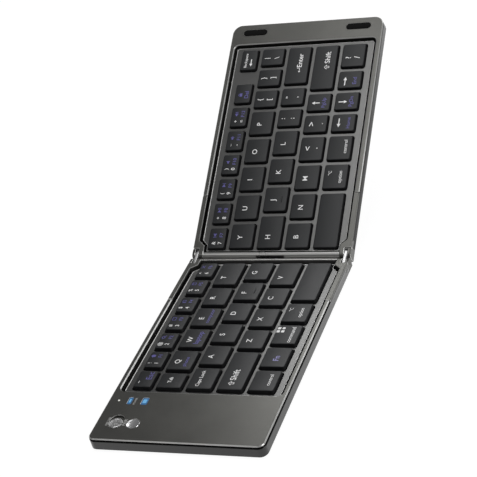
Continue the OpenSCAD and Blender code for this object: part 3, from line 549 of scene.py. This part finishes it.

# Rubber domes, one shape for each key, baked in place on no body
DOME = [(DOME_R + (DOME_TOP_R - DOME_R) * k / DOME_STEPS,
         SHEET_TOP_Z + (DOME_TOP_Z - SHEET_TOP_Z) * k / DOME_STEPS) for k in range(DOME_STEPS + 1)]
DOMES = {}
for side, node, _, _, _, c, _ in PLACES:
    DOMES.setdefault((side, node), Shape()).lathe(c, DOME, DOME_TURN)
for (side, node), shape in DOMES.items():
    o = shape.build("domes_" + node, side, [M_SHADE_AND_DARK_PARTS], body="", slot="dome_rubber",
                    replaces=(SIDES[side] + "_dome_sheet",))
    foot, top = [FRAME_OF[side] @ Vector((0, 0, z * MM)) for z in (SHEET_TOP_Z, DOME_TOP_Z)]
    tuple(foot)
    tuple(top)
    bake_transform(o)
for side, name in SIDES.items():
    shape = Shape()
    sheet = box_loop(BLOCK_U, FIELD_IN + FIELD_L[side] + PLATE_MARGIN, -SHEET_V, SHEET_V)
    shape.slab(sheet, [], SHEET_TOP_Z - SHEET_T, SHEET_TOP_Z)
    shape.build(name + "_dome_base", side, [M_SHADE_AND_DARK_PARTS], replaces=(name + "_dome_sheet",),
                slot="dome_rubber")

# Words and signs on the keys, a thin layer on each cap. CAPITAL is the height of the font's
# capitals at size 1.
PRINT_LIFT = 0.02
CAPITAL = 0.682
WRITER = bpy.data.objects.new("writer", bpy.data.curves.new("writer", "FONT"))
bpy.context.scene.collection.objects.link(WRITER)
WRITER.data.resolution_u = 4
WRITER.data.offset = 0.01
GLYPHS = {}


def written(text):
    """The faces of a text with capitals of height 1, centred on its own box, and its size."""
    if text not in GLYPHS:
        WRITER.data.body = text
        WRITER.data.size = 1 / CAPITAL
        bpy.context.view_layer.update()
        shown = WRITER.evaluated_get(bpy.context.evaluated_depsgraph_get())
        mesh = bpy.data.meshes.new_from_object(shown)
        xs = [v.co.x for v in mesh.vertices]
        ys = [v.co.y for v in mesh.vertices]
        mid = ((min(xs) + max(xs)) / 2, (min(ys) + max(ys)) / 2)
        points = [(v.co.x - mid[0], v.co.y - mid[1]) for v in mesh.vertices]
        faces = [list(p.vertices) for p in mesh.polygons]
        GLYPHS[text] = (points, faces, (max(xs) - min(xs), max(ys) - min(ys)))
        bpy.data.meshes.remove(mesh)
    return GLYPHS[text]


def polygon_faces(rings):
    """A sign's rings, an outer one and its holes, as points and faces."""
    points = [p for ring in rings for p in ring]
    loops = [[Vector((*p, 0)) for p in ring] for ring in rings]
    return points, [list(t) for t in geometry.tessellate_polygon(loops)]


def arrow(shaft=0.055, head=0.2, neck=0.12):
    return [[(-0.5, -shaft), (neck, -shaft), (neck, -head), (0.5, 0), (neck, head), (neck, shaft),
             (-0.5, shaft)]]


def quarter_turns(rings, n):
    for _ in range(n):
        rings = [[(-p[1], p[0]) for p in ring] for ring in rings]
    return rings


def frame_sign(w, d, t):
    return [box_loop(-w, w, -d, d), box_loop(-w + t, w - t, -d + t, d - t)]


def ring_sign(c, r, t):
    return [circle_loop(c, r, SMALL_TURN), circle_loop(c, r - t, SMALL_TURN)]


def shift_sign(t=0.09):
    outer = [(-0.2, -0.5), (0.2, -0.5), (0.2, 0.0), (0.5, 0.0), (0, 0.5), (-0.5, 0.0), (-0.2, 0.0)]
    return [outer, inset(outer, t)]


TRIANGLE = [(-0.3, -0.4), (0.4, 0), (-0.3, 0.4)]
SPEAKER = [(-0.5, -0.18), (-0.25, -0.18), (0.05, -0.45), (0.05, 0.45), (-0.25, 0.18), (-0.5, 0.18)]
SIGNS = {
    "east": [arrow()],
    "north": [quarter_turns(arrow(), 1)],
    "west": [quarter_turns(arrow(), 2)],
    "south": [quarter_turns(arrow(), 3)],
    "shift": [shift_sign()],
    "house": [[[(-0.5, 0), (-0.3, 0), (-0.3, -0.45), (0.3, -0.45), (0.3, 0), (0.5, 0), (0, 0.5)]]],
    "lens": [ring_sign((-0.1, 0.1), 0.36, 0.12),
             [[(0.12, -0.2), (0.2, -0.12), (0.5, -0.42), (0.42, -0.5)]]],
    "select": [frame_sign(0.45, 0.4, 0.1)],
    "copy": [frame_sign(0.28, 0.36, 0.09), [box_loop(-0.5, -0.36, -0.5, 0.3)]],
    "paste": [frame_sign(0.36, 0.45, 0.1), [box_loop(-0.2, 0.2, 0.1, 0.22)]],
    "cut": [[[(-0.45, -0.38), (-0.38, -0.45), (0.45, 0.38), (0.38, 0.45)]],
            [[(0.38, -0.45), (0.45, -0.38), (-0.38, 0.45), (-0.45, 0.38)]]],
    "back": [[[(-p[0], p[1]) for p in TRIANGLE][::-1]], [box_loop(-0.52, -0.42, -0.4, 0.4)]],
    "play": [[[(-0.5, -0.4), (0.05, 0), (-0.5, 0.4)]], [box_loop(0.15, 0.25, -0.4, 0.4)],
             [box_loop(0.38, 0.48, -0.4, 0.4)]],
    "next": [[TRIANGLE], [box_loop(0.42, 0.52, -0.4, 0.4)]],
    "mute": [[SPEAKER]],
    "quiet": [[SPEAKER], [box_loop(0.16, 0.25, -0.2, 0.2)]],
    "loud": [[SPEAKER], [box_loop(0.16, 0.25, -0.2, 0.2)], [box_loop(0.36, 0.45, -0.36, 0.36)]],
    "lock": [[box_loop(-0.35, 0.35, -0.45, 0.05)], ring_sign((0, 0.1), 0.25, 0.09)],
    "enter": [[[(-0.5, -0.1), (-0.2, -0.32), (-0.2, -0.15), (0.38, -0.15), (0.38, 0.4),
                (0.48, 0.4), (0.48, -0.05), (-0.2, -0.05), (-0.2, 0.12)]]],
    "alt": [[[(-0.5, 0.22), (-0.5, 0.32), (-0.15, 0.32), (0.2, -0.22), (0.5, -0.22),
              (0.5, -0.32), (0.14, -0.32), (-0.21, 0.22)]], [box_loop(0.1, 0.5, 0.22, 0.32)]],
    "sign": [[box_loop(-0.5, -0.08, 0.08, 0.5, 0.08, 3)], [box_loop(0.08, 0.5, 0.08, 0.5, 0.08, 3)],
             [box_loop(-0.5, -0.08, -0.5, -0.08, 0.08, 3)],
             [circle_loop((0.29, -0.29), 0.21, SMALL_TURN)]],
}
PRINTS = {}


def stamp(side, target, body, z_of, points, faces, u, v, size, ink):
    """Adds faces at a place on a half, reading along +X, to the layer of one body and ink."""
    shape = PRINTS.setdefault((side, body, target, ink), Shape())
    placed = [(u + side * p[0] * size, v + p[1] * size) for p in points]
    out = []
    for f in faces:
        loop = [placed[i] for i in f]
        out.append(list(f) if area(loop) > 0 else list(f)[::-1])
    shape.add([(p[0], p[1], z_of(p[0])) for p in placed], out)


def on_key(side, u, v, mark, ink="white", height=None, width=None):
    """A text, or a sign if its name is one, centred at u and v on the key that lies there."""
    for s, node, label, u0, u1, c, w in PLACES:
        if s == side and u0 < u < u1 and abs(v - c[1]) < ROW_D / 2:
            if mark in SIGNS:
                groups = [polygon_faces(g) for g in SIGNS[mark]]
                size = height
            else:
                points, faces, span = written(mark)
                groups = [(points, faces)]
                size = width / span[0] if width else height
            for points, faces in groups:
                stamp(side, "key", node, lambda x: CAP_Z + CAP_H - dish(w, x - c[0]) + PRINT_LIFT,
                      points, faces, u, v, size, ink)
            return


# Letters: (distance from the key's unstepped side, distance above its middle)
LETTER_AT = {LEFT: (7.4, 2.0), RIGHT: (7.8, 1.0)}
LETTER_H = 2.7
for side, node, label, u0, u1, c, w in PLACES:
    if len(label) == 1 and label.isalpha():
        off, up = LETTER_AT[side]
        on_key(side, u1 - off if side == LEFT else u0 + off, c[1] + up, label, height=LETTER_H)

# The number rows: sign over digit, and the second meaning of each key
SECOND = {
    "6": ("^", "cut", "F6"), "5": ("%", "paste", "F5"), "4": ("$", "copy", "F4"),
    "3": ("#", "select", "F3"), "2": ("@", "lens", "F2"), "1": ("!", "house", "F1"),
    "7": ("&", "back", "F7"), "8": ("*", "play", "F8"), "9": ("(", "next", "F9"),
    "0": (")", "mute", "F10"), "minus": ("_", "quiet", "F11"), "equal": ("+", "loud", "F12"),
}
LOWER = {"minus": "-", "equal": "="}
RISE = {LEFT: 0.0, RIGHT: -1.1}
WHITE_U = 2.8
VIOLET_U = {LEFT: 2.6, RIGHT: 1.9}
UPPER_V, UPPER_H = 2.7, 2.0
DIGIT_V, DIGIT_H = -0.9, 2.1
SIGN_V, SIGN_H = 2.6, 2.6
WORD_V, WORD_H = -1.1, 1.9
for side, node, label, u0, u1, c, w in PLACES:
    if label in SECOND:
        upper, sign, word = SECOND[label]
        rise = RISE[side]
        u_white = c[0] - side * WHITE_U
        u_violet = c[0] + side * VIOLET_U[side]
        on_key(side, u_white, c[1] + UPPER_V + rise, upper, height=UPPER_H)
        on_key(side, u_white, c[1] + DIGIT_V + rise, LOWER.get(label, label), height=DIGIT_H)
        on_key(side, u_violet, c[1] + SIGN_V + rise, sign, "violet", height=SIGN_H)
        on_key(side, u_violet, c[1] + WORD_V + rise, word, "violet", height=WORD_H)

# Words and signs one by one: (u, v, mark, ink, height or width)
for u, v, mark, ink, height in (
        (102.3, 34.4, "~", "white", 2.0), (101.4, -13.8, "shift", "white", 3.1),
        (82.3, -30.6, "Fn", "pale", 2.8), (60.7, -26.1, "sign", "white", 4.0),
        (44.7, -26.4, "alt", "white", 2.6)):
    on_key(LEFT, u, v, mark, ink, height=height)
for u, v, mark, ink, width in (
        (97.6, 30.2, "Esc", "violet", 5.3), (86.4, 15.1, "phone", "violet", 7.0),
        (68.0, 15.1, "laptop", "violet", 9.5), (50.7, 15.1, "computer", "violet", 11.0),
        (100.2, 18.4, "Tab", "white", 4.1), (98.4, 2.9, "Caps Lock", "white", 11.4),
        (95.3, -13.8, "Shift", "white", 7.7), (98.2, -32.5, "control", "white", 7.8),
        (64.5, -32.5, "command", "white", 11.7), (47.1, -32.5, "option", "white", 7.3)):
    on_key(LEFT, u, v, mark, ink, width=width)
for u, v, mark, ink, height in (
        (95.5, 20.5, "{", "white", 2.6), (95.5, 15.0, "[", "white", 2.6),
        (109.1, 20.5, "}", "white", 2.6), (109.1, 15.0, "]", "white", 2.6),
        (121.8, 20.5, "|", "white", 2.6), (121.8, 15.0, "\\", "white", 2.6),
        (83.0, 5.0, ":", "white", 2.6), (83.0, -0.5, ";", "white", 2.6),
        (96.1, 5.0, "\"", "white", 2.6), (96.1, -1.5, "'", "white", 2.6),
        (64.1, -11.8, "<", "white", 3.4), (64.1, -17.3, ",", "white", 2.6),
        (78.9, -11.8, ">", "white", 3.4), (78.9, -18.2, ".", "white", 2.6),
        (119.3, -27.3, "?", "white", 3.0), (119.2, -32.3, "/", "white", 3.2),
        (113.0, 0.6, "enter", "white", 3.0), (114.0, -15.5, "shift", "white", 3.0),
        (91.8, -12.5, "north", "white", 4.6), (79.0, -27.5, "west", "white", 5.4),
        (91.8, -28.0, "south", "white", 4.8), (104.5, -27.5, "east", "white", 5.2),
        (48.9, -26.8, "alt", "white", 2.6), (99.1, 33.4, "lock", "violet", 2.8),
        (119.5, 30.2, "west", "white", 4.6)):
    on_key(RIGHT, u, v, mark, ink, height=height)
for u, v, mark, ink, width in (
        (119.2, 0.6, "Enter", "white", 8.6), (120.0, -15.5, "Shift", "white", 7.2),
        (91.8, -17.3, "PgUp", "violet", 6.0), (78.8, -32.9, "Home", "violet", 6.6),
        (91.8, -32.9, "PgDn", "violet", 6.2), (104.6, -32.9, "End", "violet", 4.3),
        (46.5, -33.0, "option", "white", 7.1), (64.5, -33.2, "control", "white", 7.9),
        (99.1, 29.5, "Del", "violet", 4.4), (121.0, 33.2, "Backspace", "white", 8.9)):
    on_key(RIGHT, u, v, mark, ink, width=width)

# Small print beside the switch, the button and the lights
for u, v, text, width in ((131.6, 38.6, "OFF ON", 5.6), (131.6, 29.7, "PAIR", 4.4),
                          (116.6, 30.4, "POWER", 4.8)):
    points, faces, span = written(text)
    stamp(LEFT, "frame", "left_half", lambda x: TOP_Z + PRINT_LIFT, points, faces, u, v,
          width / span[0], "print")
INKS = {"white": M_LEGEND, "violet": M_VIOLET, "pale": M_PALE, "print": M_PRINT}
for (side, body, target, ink), shape in PRINTS.items():
    slot = "key_plastic" if target == "key" else "frame_metal"
    shape.build("print_%s_%s" % (body, ink), side, [INKS[ink]], body=body, slot=slot)
bpy.data.objects.remove(WRITER)

# Key plates
for side, name in SIDES.items():
    end = FIELD_IN + FIELD_L[side] + PLATE_MARGIN
    u0 = HINGE_BAR + GROOVE + PLATE_PLAY
    u1 = BLOCK_U + BRACKET_GROOVE
    u2 = u1 + BLOCK_SLOPE
    v0 = BLOCK_V - BRACKET_GROOVE
    corners = [(u0, -v0), (u1, -v0), (u2, -PLATE_V), (end, -PLATE_V), (end, PLATE_V), (u2, PLATE_V),
               (u1, v0), (u0, v0)]
    radii = [PLATE_BAR_R, PLATE_BLOCK_R, PLATE_BLOCK_R, PLATE_END_R]
    plan = rounded(corners, radii + radii[::-1])
    gx, gy = GAP_X / 2 - OPENING[side], GAP_Y / 2 - OPENING[side]
    holes = [box_loop(k0 + gx, k1 - gx, r0 + gy, r1 - gy, CORNER + PLAY, 5)
             for _, _, k0, k1, r0, r1 in keys(side)]
    shape = Shape()
    slope = LIP_SLOPE[side]
    # The lip round the plate: its outer bands near black as painted shade in the groove, its top
    # and inner slope in the bright edge material as a painted highlight
    lip = ((0, PLATE_Z + LIP_H - slope, 2), (slope, PLATE_Z + LIP_H, 2),
           (slope + LIP_TOP, PLATE_Z + LIP_H, 1), (slope + LIP_FOOT, PLATE_Z, 1))
    shape.slab(plan, holes, LEDGE_Z, PLATE_Z, hole_top=FINE_EDGE, edge=0, lip=lip)
    shape.build(name + "_plate_top", side, [M_PLATE, M_EDGE_HIGHLIGHT, M_SHADE_AND_DARK_PARTS],
                replaces=(name + "_key_plate",), slot="plate_metal")


# Frames: rim, cover over the battery bay or end bar, bar beside the fold and the ledge below
def frame_shape(side):
    end = FIELD_IN + FIELD_L[side] + PLATE_MARGIN + GROOVE
    s = Shape()

    def plan(gap, well=0.0, back_gap=None):
        """The frame's outline, drawn in by gap outside and by well round the keys."""
        back_gap = gap if back_gap is None else back_gap
        far, v, back = HALF_L - gap, HALF_V - gap, HALF_V - back_gap
        r = END_R[side] - gap
        arm, rim_v, well_u, turn = ARM + well / 2, RIM_V + well, end + well, WELL_R + well
        corners = [(arm, -v), (far, -v), (far, back), (arm, back), (arm, rim_v), (well_u, rim_v),
                   (well_u, -rim_v), (arm, -rim_v)]
        return turned(rounded(corners, [0, r, r, 0, 0, turn, turn, 0], 10))

    through, pockets = [], []
    if side == LEFT:
        middle = (CONTROL_U - TRAVEL / 2, SWITCH_V)
        room = 2 * (KNOB_R + KNOB_ROOM)
        pockets = [(stadium(middle, room + TRAVEL, room),
                    stadium(middle, STEM_W + TRAVEL, STEM_W))]
        through = [circle_loop((CONTROL_U, BUTTON_V), BUTTON_R + FINE_EDGE),
                   circle_loop((LIGHT_U, CHARGE_V), CHARGE_R, SMALL_TURN)]
        for v, w in WINDOWS:
            through.append(box_loop(LIGHT_U - WINDOW_L / 2, LIGHT_U + WINDOW_L / 2, v - w / 2,
                                    v + w / 2, WINDOW_R, 5))
    else:
        for k in (-1, 1):
            place = (HALF_L - BUMPER_OUT, k * BUMPER_V)
            pockets.append((stadium(place, BUMPER_L, BUMPER_W, False), None))
    drawn_in, bevel = EDGE_FORM[side]
    rim, wall = plan(drawn_in, back_gap=0), plan(INNER_WALL)
    head = plan(drawn_in + bevel, WELL_BEVEL, bevel)
    # The inner wall below the ledge and the seam's underside are near black: painted shade
    s.band(at(wall, SHEET_TOP_Z), at(wall, LEDGE_Z), 2)
    s.band(at(wall, LEDGE_Z), at(wall, SEAM_Z), 0)
    s.cover([at(rim, SEAM_Z), at(wall[::-1], SEAM_Z)], False, 2)
    # The left rim's side below the chamfer is near black as painted shade; the right half keeps the
    # frame paint there
    s.band(at(rim, SEAM_Z), at(rim, TOP_Z - bevel), 2 if side == LEFT else 0)
    # The sloped band round the top takes the bright edge material: a painted highlight
    s.band(at(rim, TOP_Z - bevel), at(head, TOP_Z), 1)
    tops, bottoms = [at(head, TOP_Z)], [at(wall, SHEET_TOP_Z)]
    pocket_z = TOP_Z - (RECESS if side == LEFT else BUMPER_DEPTH)
    openings = [(loop, SHEET_TOP_Z) for loop in through] + [(p[0], pocket_z) for p in pockets]
    for loop, low in openings:
        loop = turned(loop, False)
        head = inset(loop, FINE_EDGE)
        s.band(at(loop, low), at(loop, TOP_Z - FINE_EDGE), 0)
        # Each opening's rim takes the bright edge material: a painted highlight
        s.band(at(loop, TOP_Z - FINE_EDGE), at(head, TOP_Z), 1)
        tops.append(at(head, TOP_Z))
        if low == SHEET_TOP_Z:
            bottoms.append(at(loop, low))
    # The stem slot's wall is near black as painted shade, and so is the floor of the bumper pockets
    # on the right half
    for loop, stem_loop in pockets:
        rings = [at(turned(loop), pocket_z)]
        if stem_loop:
            stem_loop = turned(stem_loop, False)
            rings.append(at(stem_loop, pocket_z))
            s.band(at(stem_loop, SHEET_TOP_Z), at(stem_loop, pocket_z), 2)
            bottoms.append(at(stem_loop, SHEET_TOP_Z))
        s.cover(rings, True, 0 if side == LEFT else 2)
    s.cover(tops, True, 0)
    s.cover(bottoms, False, 2)

    # The ledge under the key plate, and the shelves that carry the bracket arms, all near black as
    # painted shade
    shelf_u = BLOCK_U + BLOCK_SLOPE + PLAY
    block = BLOCK_V - PLAY
    ledge = [(FOLD_U, -block), (shelf_u, -block), (shelf_u, -RIM_V), (end, -RIM_V), (end, RIM_V),
             (shelf_u, RIM_V), (shelf_u, block), (FOLD_U, block)]
    lip = 0.7
    well = box_loop(FIELD_IN + lip, FIELD_IN + FIELD_L[side] - lip, -FIELD_TOP, FIELD_TOP)
    s.slab(ledge, [well], SHEET_TOP_Z, LEDGE_Z, slot=2)
    for k in (-1, 1):
        shelf = turned([(shelf_u, k * RIM_V), (ARM, k * RIM_V), (ARM, k * (HALF_V - INNER_WALL)),
                        (shelf_u, k * (HALF_V - INNER_WALL))])
        s.slab(shelf, [], SHEET_TOP_Z, ARM_SHELF_Z, slot=2)

    # The bar beside the fold, round about the pivot, in the lighter bar material as a painted
    # highlight
    steps = 16
    radius = PIVOT_U - FOLD_U
    section = [(HINGE_BAR, LEDGE_Z), (HINGE_BAR, TOP_Z - FINE_EDGE), (HINGE_BAR - FINE_EDGE, TOP_Z)]
    for k in range(steps + 1):
        a = math.pi / 2 * k / steps
        section.append((PIVOT_U - radius * math.sin(a), PIVOT_Z + radius * math.cos(a)))
    section.append((FOLD_U, LEDGE_Z))
    if side == LEFT:
        s.prism(section, -block, block, FINE_EDGE, 3)
    else:
        s.prism(section, -block, -RIBBON_ROOM, FINE_EDGE, 3)
        s.prism(section, RIBBON_ROOM, block, FINE_EDGE, 3)
        notched = [(max(p[0], RIBBON_NOTCH), p[1]) for p in section]
        s.prism(notched, -RIBBON_ROOM - FINE_EDGE, RIBBON_ROOM + FINE_EDGE, slot=3)
    name = SIDES[side]
    s.build(name + "_frame_top", side, [M_FRAME, M_EDGE_HIGHLIGHT, M_SHADE_AND_DARK_PARTS, M_BAR_HIGHLIGHT],
            replaces=(name + "_top_frame",), slot="frame_metal")


for side in SIDES:
    frame_shape(side)

# Button, with a raised ring and a shallow hollow: (radius, height)
DISH_R = BUTTON_R - 0.35
BUTTON_TURN = 96
ring = [(BUTTON_R, TOP_Z - INSERT_DEPTH), (BUTTON_R, TOP_Z - 0.1), (BUTTON_R - 0.1, TOP_Z + 0.02),
        (BUTTON_R - 0.25, TOP_Z + 0.04)]
hollow = [(r, TOP_Z - BUTTON_DISH * (1 - (r / DISH_R) ** 2))
          for r in (DISH_R, 2.5, 2.1, 1.7, 1.3, 0.9, 0.5, 0.2)]
s = Shape()
s.lathe((CONTROL_U, BUTTON_V), ring + hollow, BUTTON_TURN)
s.build("round_button", LEFT, [M_CHROME], body="connect_button", replaces=("connect_button",),
        slot="button_chrome")

# Light windows, each with a brighter middle, and the small round charge light
s = Shape()
low, high = TOP_Z - INSERT_DEPTH, TOP_Z - WINDOW_GAP
for v, w in WINDOWS:
    outer = box_loop(LIGHT_U - WINDOW_L / 2 + WINDOW_GAP, LIGHT_U + WINDOW_L / 2 - WINDOW_GAP,
                     v - w / 2 + WINDOW_GAP, v + w / 2 - WINDOW_GAP, WINDOW_R - WINDOW_GAP, 5)
    middle = box_loop(LIGHT_U - WINDOW_L / 2 + PANE_IN_U, LIGHT_U + WINDOW_L / 2 - PANE_IN_U,
                      v - w / 2 + PANE_IN_V, v + w / 2 - PANE_IN_V, PANE_R, 5)
    s.slab(outer, [middle], low, high, top=PANE_EDGE)
    s.slab(middle, [], low, high, slot=2)
charge = circle_loop((LIGHT_U, CHARGE_V), CHARGE_R - 0.02, SMALL_TURN)
s.slab(charge, [], low, high, top=PANE_EDGE, slot=1)
s.build("light_windows", LEFT, [M_LIT, M_LAMP, M_LIT_MIDDLE], replaces=("status_lights",),
        slot="light_plastic")

# Pieces whose form is the CAD's, with softened edges
for side, name in SIDES.items():
    # Bracket edges take the bright edge material, a painted highlight
    softened(name + "_hinge_brackets", 0.2, [M_FRAME, M_EDGE_HIGHLIGHT], edge_slot=1)
    # The shell's faces inside its outer skin are near black: painted shade
    softened(name + "_bottom_shell", 0.12, [M_SHELL, M_SHADE_AND_DARK_PARTS], side=side)
    softened(name + "_feet", 0.3, [M_RUBBER], 3)
softened("hinge_links", 0.3, [M_SILVER], 3)
softened("power_switch", 0.08, [M_KNOB])
softened("closing_bumpers", 0.2, [M_RUBBER], 3)

# Looks of the CAD nodes that show as they are
LOOKS = {
    "hinge_pins": M_SILVER, "screws": M_SILVER, "support_plate": M_SHADE_AND_DARK_PARTS,
    "magnets": M_SILVER, "flex_ribbon": M_RIBBON, "usb_port": M_SILVER, "battery": M_SILVER,
    "main_board": M_SHADE_AND_DARK_PARTS,
}
for name, o in frame["nodes"].items():
    for part, look in LOOKS.items():
        if name.endswith(part):
            o.data.materials.clear()
            o.data.materials.append(look)


# Floor: white to the eye and in reflections, with the object's shadow on it
FLOOR_SHARE, FLOOR_GLOW, FLOOR_REACH = 0.85, 1.12, 6


def floor_material():
    m = material("floor_white", (0.8, 0.8, 0.8), 0.9, spec=0.0, tone=0.01)
    nodes, links = m.node_tree.nodes, m.node_tree.links
    path = nodes.new("ShaderNodeLightPath")
    seen = nodes.new("ShaderNodeMath")
    seen.operation = "MAXIMUM"
    links.new(path.outputs["Is Camera Ray"], seen.inputs[0])
    links.new(path.outputs["Is Glossy Ray"], seen.inputs[1])
    share = nodes.new("ShaderNodeMath")
    share.operation = "MULTIPLY"
    share.inputs[1].default_value = FLOOR_SHARE
    links.new(seen.outputs[0], share.inputs[0])
    glow = nodes.new("ShaderNodeEmission")
    glow.inputs["Strength"].default_value = FLOOR_GLOW
    mix = nodes.new("ShaderNodeMixShader")
    links.new(share.outputs[0], mix.inputs["Fac"])
    links.new(nodes["Principled BSDF"].outputs["BSDF"], mix.inputs[1])
    links.new(glow.outputs["Emission"], mix.inputs[2])
    links.new(mix.outputs["Shader"], nodes["Material Output"].inputs["Surface"])
    return m


mesh = bpy.data.meshes.new("floor")
r = FLOOR_REACH
mesh.from_pydata([(-r, -r, 0), (r, -r, 0), (r, r, 0), (-r, r, 0)], [], [[0, 1, 2, 3]])
mesh.materials.append(floor_material())
floor = bpy.data.objects.new("floor", mesh)
bpy.context.scene.collection.objects.link(floor)
floor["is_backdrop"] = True


# Lights and camera
def lamp(name, place, target, size, level):
    """A soft lamp; its level is the brightness of its face, where 1 is white."""
    data = bpy.data.lights.new(name, "AREA")
    data.shape = "RECTANGLE"
    data.size, data.size_y = size
    data.energy = level * math.pi * size[0] * size[1]
    o = bpy.data.objects.new(name, data)
    o.location = place
    o.rotation_euler = (Vector(target) - Vector(place)).to_track_quat("-Z", "Y").to_euler()
    o.visible_camera = False
    bpy.context.scene.collection.objects.link(o)


lamp("overhead", (-0.01, 0.02, 0.54), (-0.01, 0.02, 0), (0.35, 0.3), 2.4)
lamp("right", (0.36, 0.10, 0.395), (-0.03, 0, 0.007), (0.2, 0.2), 4.4)
lamp("front", (-0.15, -0.8, 0.5), (0, 0, 0.02), (0.7, 0.4), 3.2)
lamp("back_left", (-0.53, 0.40, 0.75), (0, 0, 0.02), (0.4, 0.4), 1.3)
lamp("front_right", (0.75, -0.53, 0.40), (0, 0, 0.02), (0.4, 0.4), 1.8)
WORLD_LEVEL = 0.17
world = bpy.data.worlds.new("studio")
bpy.context.scene.world = world
world.use_nodes = True
world.node_tree.nodes["Background"].inputs["Color"].default_value = (1, 1, 1, 1)
world.node_tree.nodes["Background"].inputs["Strength"].default_value = WORLD_LEVEL

# The photograph's camera, from the fit: its place, its right hand and its line of sight
CAMERA_PLACE = Vector((-0.6048, -0.3109, 0.4527))
CAMERA_RIGHT = Vector((0.3188, -0.9176, -0.2374))
CAMERA_SIGHT = Vector((0.7491, 0.3974, -0.5299))
cam = bpy.data.cameras.new("photo")
cam.sensor_width = 36
cam.lens = 118.36
cam.clip_start = 0.05
camera = bpy.data.objects.new("photo", cam)
forward = CAMERA_SIGHT.normalized()
up = CAMERA_RIGHT.normalized().cross(forward).normalized()
right = forward.cross(up).normalized()
camera.matrix_world = Matrix(((right.x, up.x, -forward.x, CAMERA_PLACE.x),
                              (right.y, up.y, -forward.y, CAMERA_PLACE.y),
                              (right.z, up.z, -forward.z, CAMERA_PLACE.z), (0, 0, 0, 1)))
bpy.context.scene.collection.objects.link(camera)
bpy.context.scene.camera = camera
bpy.context.scene.view_settings.view_transform = "Standard"

# Box of the shown object
low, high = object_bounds()
' "shown": [[%.6f, %.6f, %.6f], [%.6f, %.6f, %.6f]]}\n' % (*low, *high)
